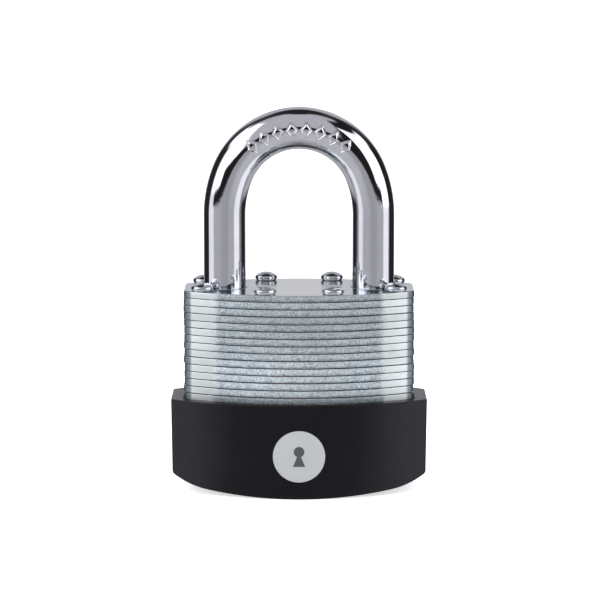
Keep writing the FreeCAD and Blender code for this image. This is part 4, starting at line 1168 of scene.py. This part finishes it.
# What the polished metal sees: a level, then degrees round from the front (right is
# positive), degrees up from level, the softness of the edges, and how many degrees the
# two sides lean outward for each degree up. Later ones lie on top.
STUDIO = (
    (0.47, -200, 200, -100, 100, 4, 0),     # pale walls and floor
    (0.12, -200, -98, -100, -56, 8, 0),     # floor in the lock's own shade
    (0.12, 98, 200, -100, -56, 8, 0),
    (0.56, -60, 60, -62, -14, 8, 0),        # floor in front
    (0.38, -20, 20, -16, 0, 10, 0),         # far part of it
    (0.96, -96, -62, -56, 4, 5, 0),         # floor lit by the left softbox
    (1.05, 55, 88, -50, 4, 5, 0),           # floor lit by the right softbox
    (0.022, -150, -94, -17, 34, 4, 0),      # dark room behind on the left
    (0.022, 94, 150, -17, 32, 4, 0),        # dark room behind on the right
    (0.022, -200, -98, 54, 100, 6, 0),      # dark ceiling behind on the left
    (0.022, 98, 200, 54, 100, 6, 0),        # dark ceiling behind on the right
    (0.05, -142, -112, 28, 70, 7, 0),
    (0.05, 104, 142, 28, 70, 7, 0),
    (0.50, 148, 220, 14, 50, 8, 0),         # pale backdrop, right half
    (0.50, -220, -148, 14, 50, 8, 0),       # pale backdrop, left half
    (0.66, 148, 220, -6, 20, 7, 0),         # its lit foot
    (0.66, -220, -148, -6, 20, 7, 0),
    (0.02, -200, 200, 82, 100, 4, 0),       # gap overhead
    (0.016, 0, 125, 0, 63, 3, 0),           # flags round the right softbox
    (1.7, -89, -20, 4, 59, 3, 0),           # left softbox
    (1.7, -111, -80, 33, 51, 4, 0),         # its wing
    (1.7, 38, 95, -2, 46, 2.5, 0),          # right softbox
    (1.4, 90, 106, 34, 46, 4, 0),           # its wing
    (0.52, -13, 3, 8, 82, 2.5, 0.7),        # front wall
    (0.016, -68, 54, -2.5, 4, 1.5, 0),      # dark gap between floor and front wall
    (0.016, -44, 30, -2.5, 11, 2, 0),
)


def studio_world():
    """Pale studio seen in the metal, and plain white behind the lock."""
    world = bpy.data.worlds.new("studio")
    world.use_nodes = True
    tree = world.node_tree
    tree.nodes.clear()
    way = tree.nodes.new("ShaderNodeTexCoord").outputs["Generated"]
    parts = add(tree, "ShaderNodeSeparateXYZ", {0: way}).outputs
    ahead = calc(tree, "MULTIPLY", parts["Y"], -1.0)
    turned = calc(tree, "DEGREES", calc(tree, "ARCTAN2", parts["X"], ahead))
    raised = calc(tree, "DEGREES", calc(tree, "ARCSINE", parts["Z"]))

    def between(value, low, high, soft):
        """One between two angles in degrees, with soft edges."""
        up = ramp(tree, value, low - soft, low + soft)
        down = ramp(tree, value, high - soft, high + soft, 1.0, 0.0)
        return calc(tree, "MULTIPLY", up, down)

    total = STUDIO[0][0]
    for level, left, right, low, high, soft, lean in STUDIO[1:]:
        middle, half = (left + right) / 2, (right - left) / 2
        across = calc(tree, "ABSOLUTE", calc(tree, "SUBTRACT", turned, middle))
        spread = calc(tree, "MULTIPLY_ADD", raised, -lean, across)
        sides = ramp(tree, spread, half - soft, half + soft, 1.0, 0.0)
        mask = calc(tree, "MULTIPLY", sides, between(raised, low, high, soft))
        total = add(tree, "ShaderNodeMix", {0: mask, 2: total, 3: level}, data_type="FLOAT").outputs[0]
    seen = tree.nodes.new("ShaderNodeLightPath").outputs["Is Camera Ray"]
    strength = add(tree, "ShaderNodeMix", {0: seen, 2: total, 3: 1.0}, data_type="FLOAT").outputs[0]
    cool, white = (0.98, 0.98, 1.05, 1.0), (1.0, 1.0, 1.0, 1.0)
    tint = blend(tree, seen, cool, white)
    sky = add(tree, "ShaderNodeBackground", {"Color": tint, "Strength": strength})
    out = tree.nodes.new("ShaderNodeOutputWorld")
    tree.links.new(sky.outputs[0], out.inputs[0])
    return world


def soft_sun():
    """A very soft light from above for the floor and dull surfaces, with no reflection."""
    strength, spread, forward, aside = 3.4, 150.0, 12.0, -8.0
    data = bpy.data.lights.new("overhead", "SUN")
    data.energy = strength
    data.angle = math.radians(spread)
    lamp = bpy.data.objects.new("overhead", data)
    bpy.context.scene.collection.objects.link(lamp)
    lamp.rotation_euler = (math.radians(forward), math.radians(aside), 0)
    lamp.visible_glossy = False


class PADLOCK_OT_stage(bpy.types.Operator):
    """Set up the pale floor, the studio light and the camera"""
    bl_idname = "padlock.stage"
    bl_label = "Stage"

    def execute(self, context):
        settings, scene = setting("stage"), context.scene
        tree, shader, place, material = new_material("pale_floor")
        paper = noise(tree, place, 40.0)
        pale = blend(tree, paper, rgba(settings.floor, 0.985), rgba(settings.floor))
        set_sockets(shader, tree, Base_Color=pale, Roughness=0.8,
                    Emission_Color=(1.0, 1.0, 1.0, 1.0), Emission_Strength=0.6)
        work = bmesh.new()
        bmesh.ops.create_grid(work, x_segments=1, y_segments=1, size=3.0)
        ground = mesh_object("floor", from_bmesh("floor", work), material)
        ground.visible_glossy = False
        scene.world = studio_world()
        soft_sun()
        scene.view_settings.view_transform = "Standard"
        camera = bpy.data.objects.new("camera", bpy.data.cameras.new("camera"))
        scene.collection.objects.link(camera)
        camera.location = (0.0, -settings.distance, settings.height)
        camera.rotation_euler = (pi / 2 - settings.tilt, 0, 0)
        camera.data.lens = settings.lens
        camera.data.shift_x = settings.shift
        scene.camera = camera
        return {"FINISHED"}


class PADLOCK_PT_panel(bpy.types.Panel):
    """Padlock tools in the 3D view's sidebar"""
    bl_label = "Laminated Padlock"
    bl_idname = "PADLOCK_PT_panel"
    bl_space_type = "VIEW_3D"
    bl_region_type = "UI"
    bl_category = "Padlock"

    def draw(self, context):
        for operator in OPERATORS:
            self.layout.operator(operator.bl_idname)
        for name, kind in SETTINGS.items():
            box = self.layout.box()
            box.label(text=name.capitalize())
            for field in kind.__annotations__:
                box.prop(setting(name), field)


OPERATORS = (PADLOCK_OT_stage, PADLOCK_OT_plates, PADLOCK_OT_top_plate, PADLOCK_OT_rivets,
             PADLOCK_OT_shackle, PADLOCK_OT_cover, PADLOCK_OT_badge, PADLOCK_OT_springs,
             PADLOCK_OT_lockwork)


def register():
    """Register the settings, the operators and the panel."""
    for kind in (*SETTINGS.values(), *OPERATORS, PADLOCK_PT_panel):
        bpy.utils.register_class(kind)
    for name, kind in SETTINGS.items():
        setattr(bpy.types.Scene, "padlock_" + name, PointerProperty(type=kind))


def unregister():
    """Take them away again."""
    for name in SETTINGS:
        delattr(bpy.types.Scene, "padlock_" + name)
    for kind in (PADLOCK_PT_panel, *reversed(OPERATORS), *reversed(SETTINGS.values())):
        bpy.utils.unregister_class(kind)


def main():
    """Build every piece."""
    register()
    bpy.ops.padlock.stage()
    bpy.ops.padlock.plates()
    bpy.ops.padlock.top_plate()
    bpy.ops.padlock.rivets()
    bpy.ops.padlock.shackle()
    bpy.ops.padlock.cover()
    bpy.ops.padlock.badge()
    bpy.ops.padlock.springs()
    bpy.ops.padlock.lockwork()


if __name__ == "__main__":
    main()
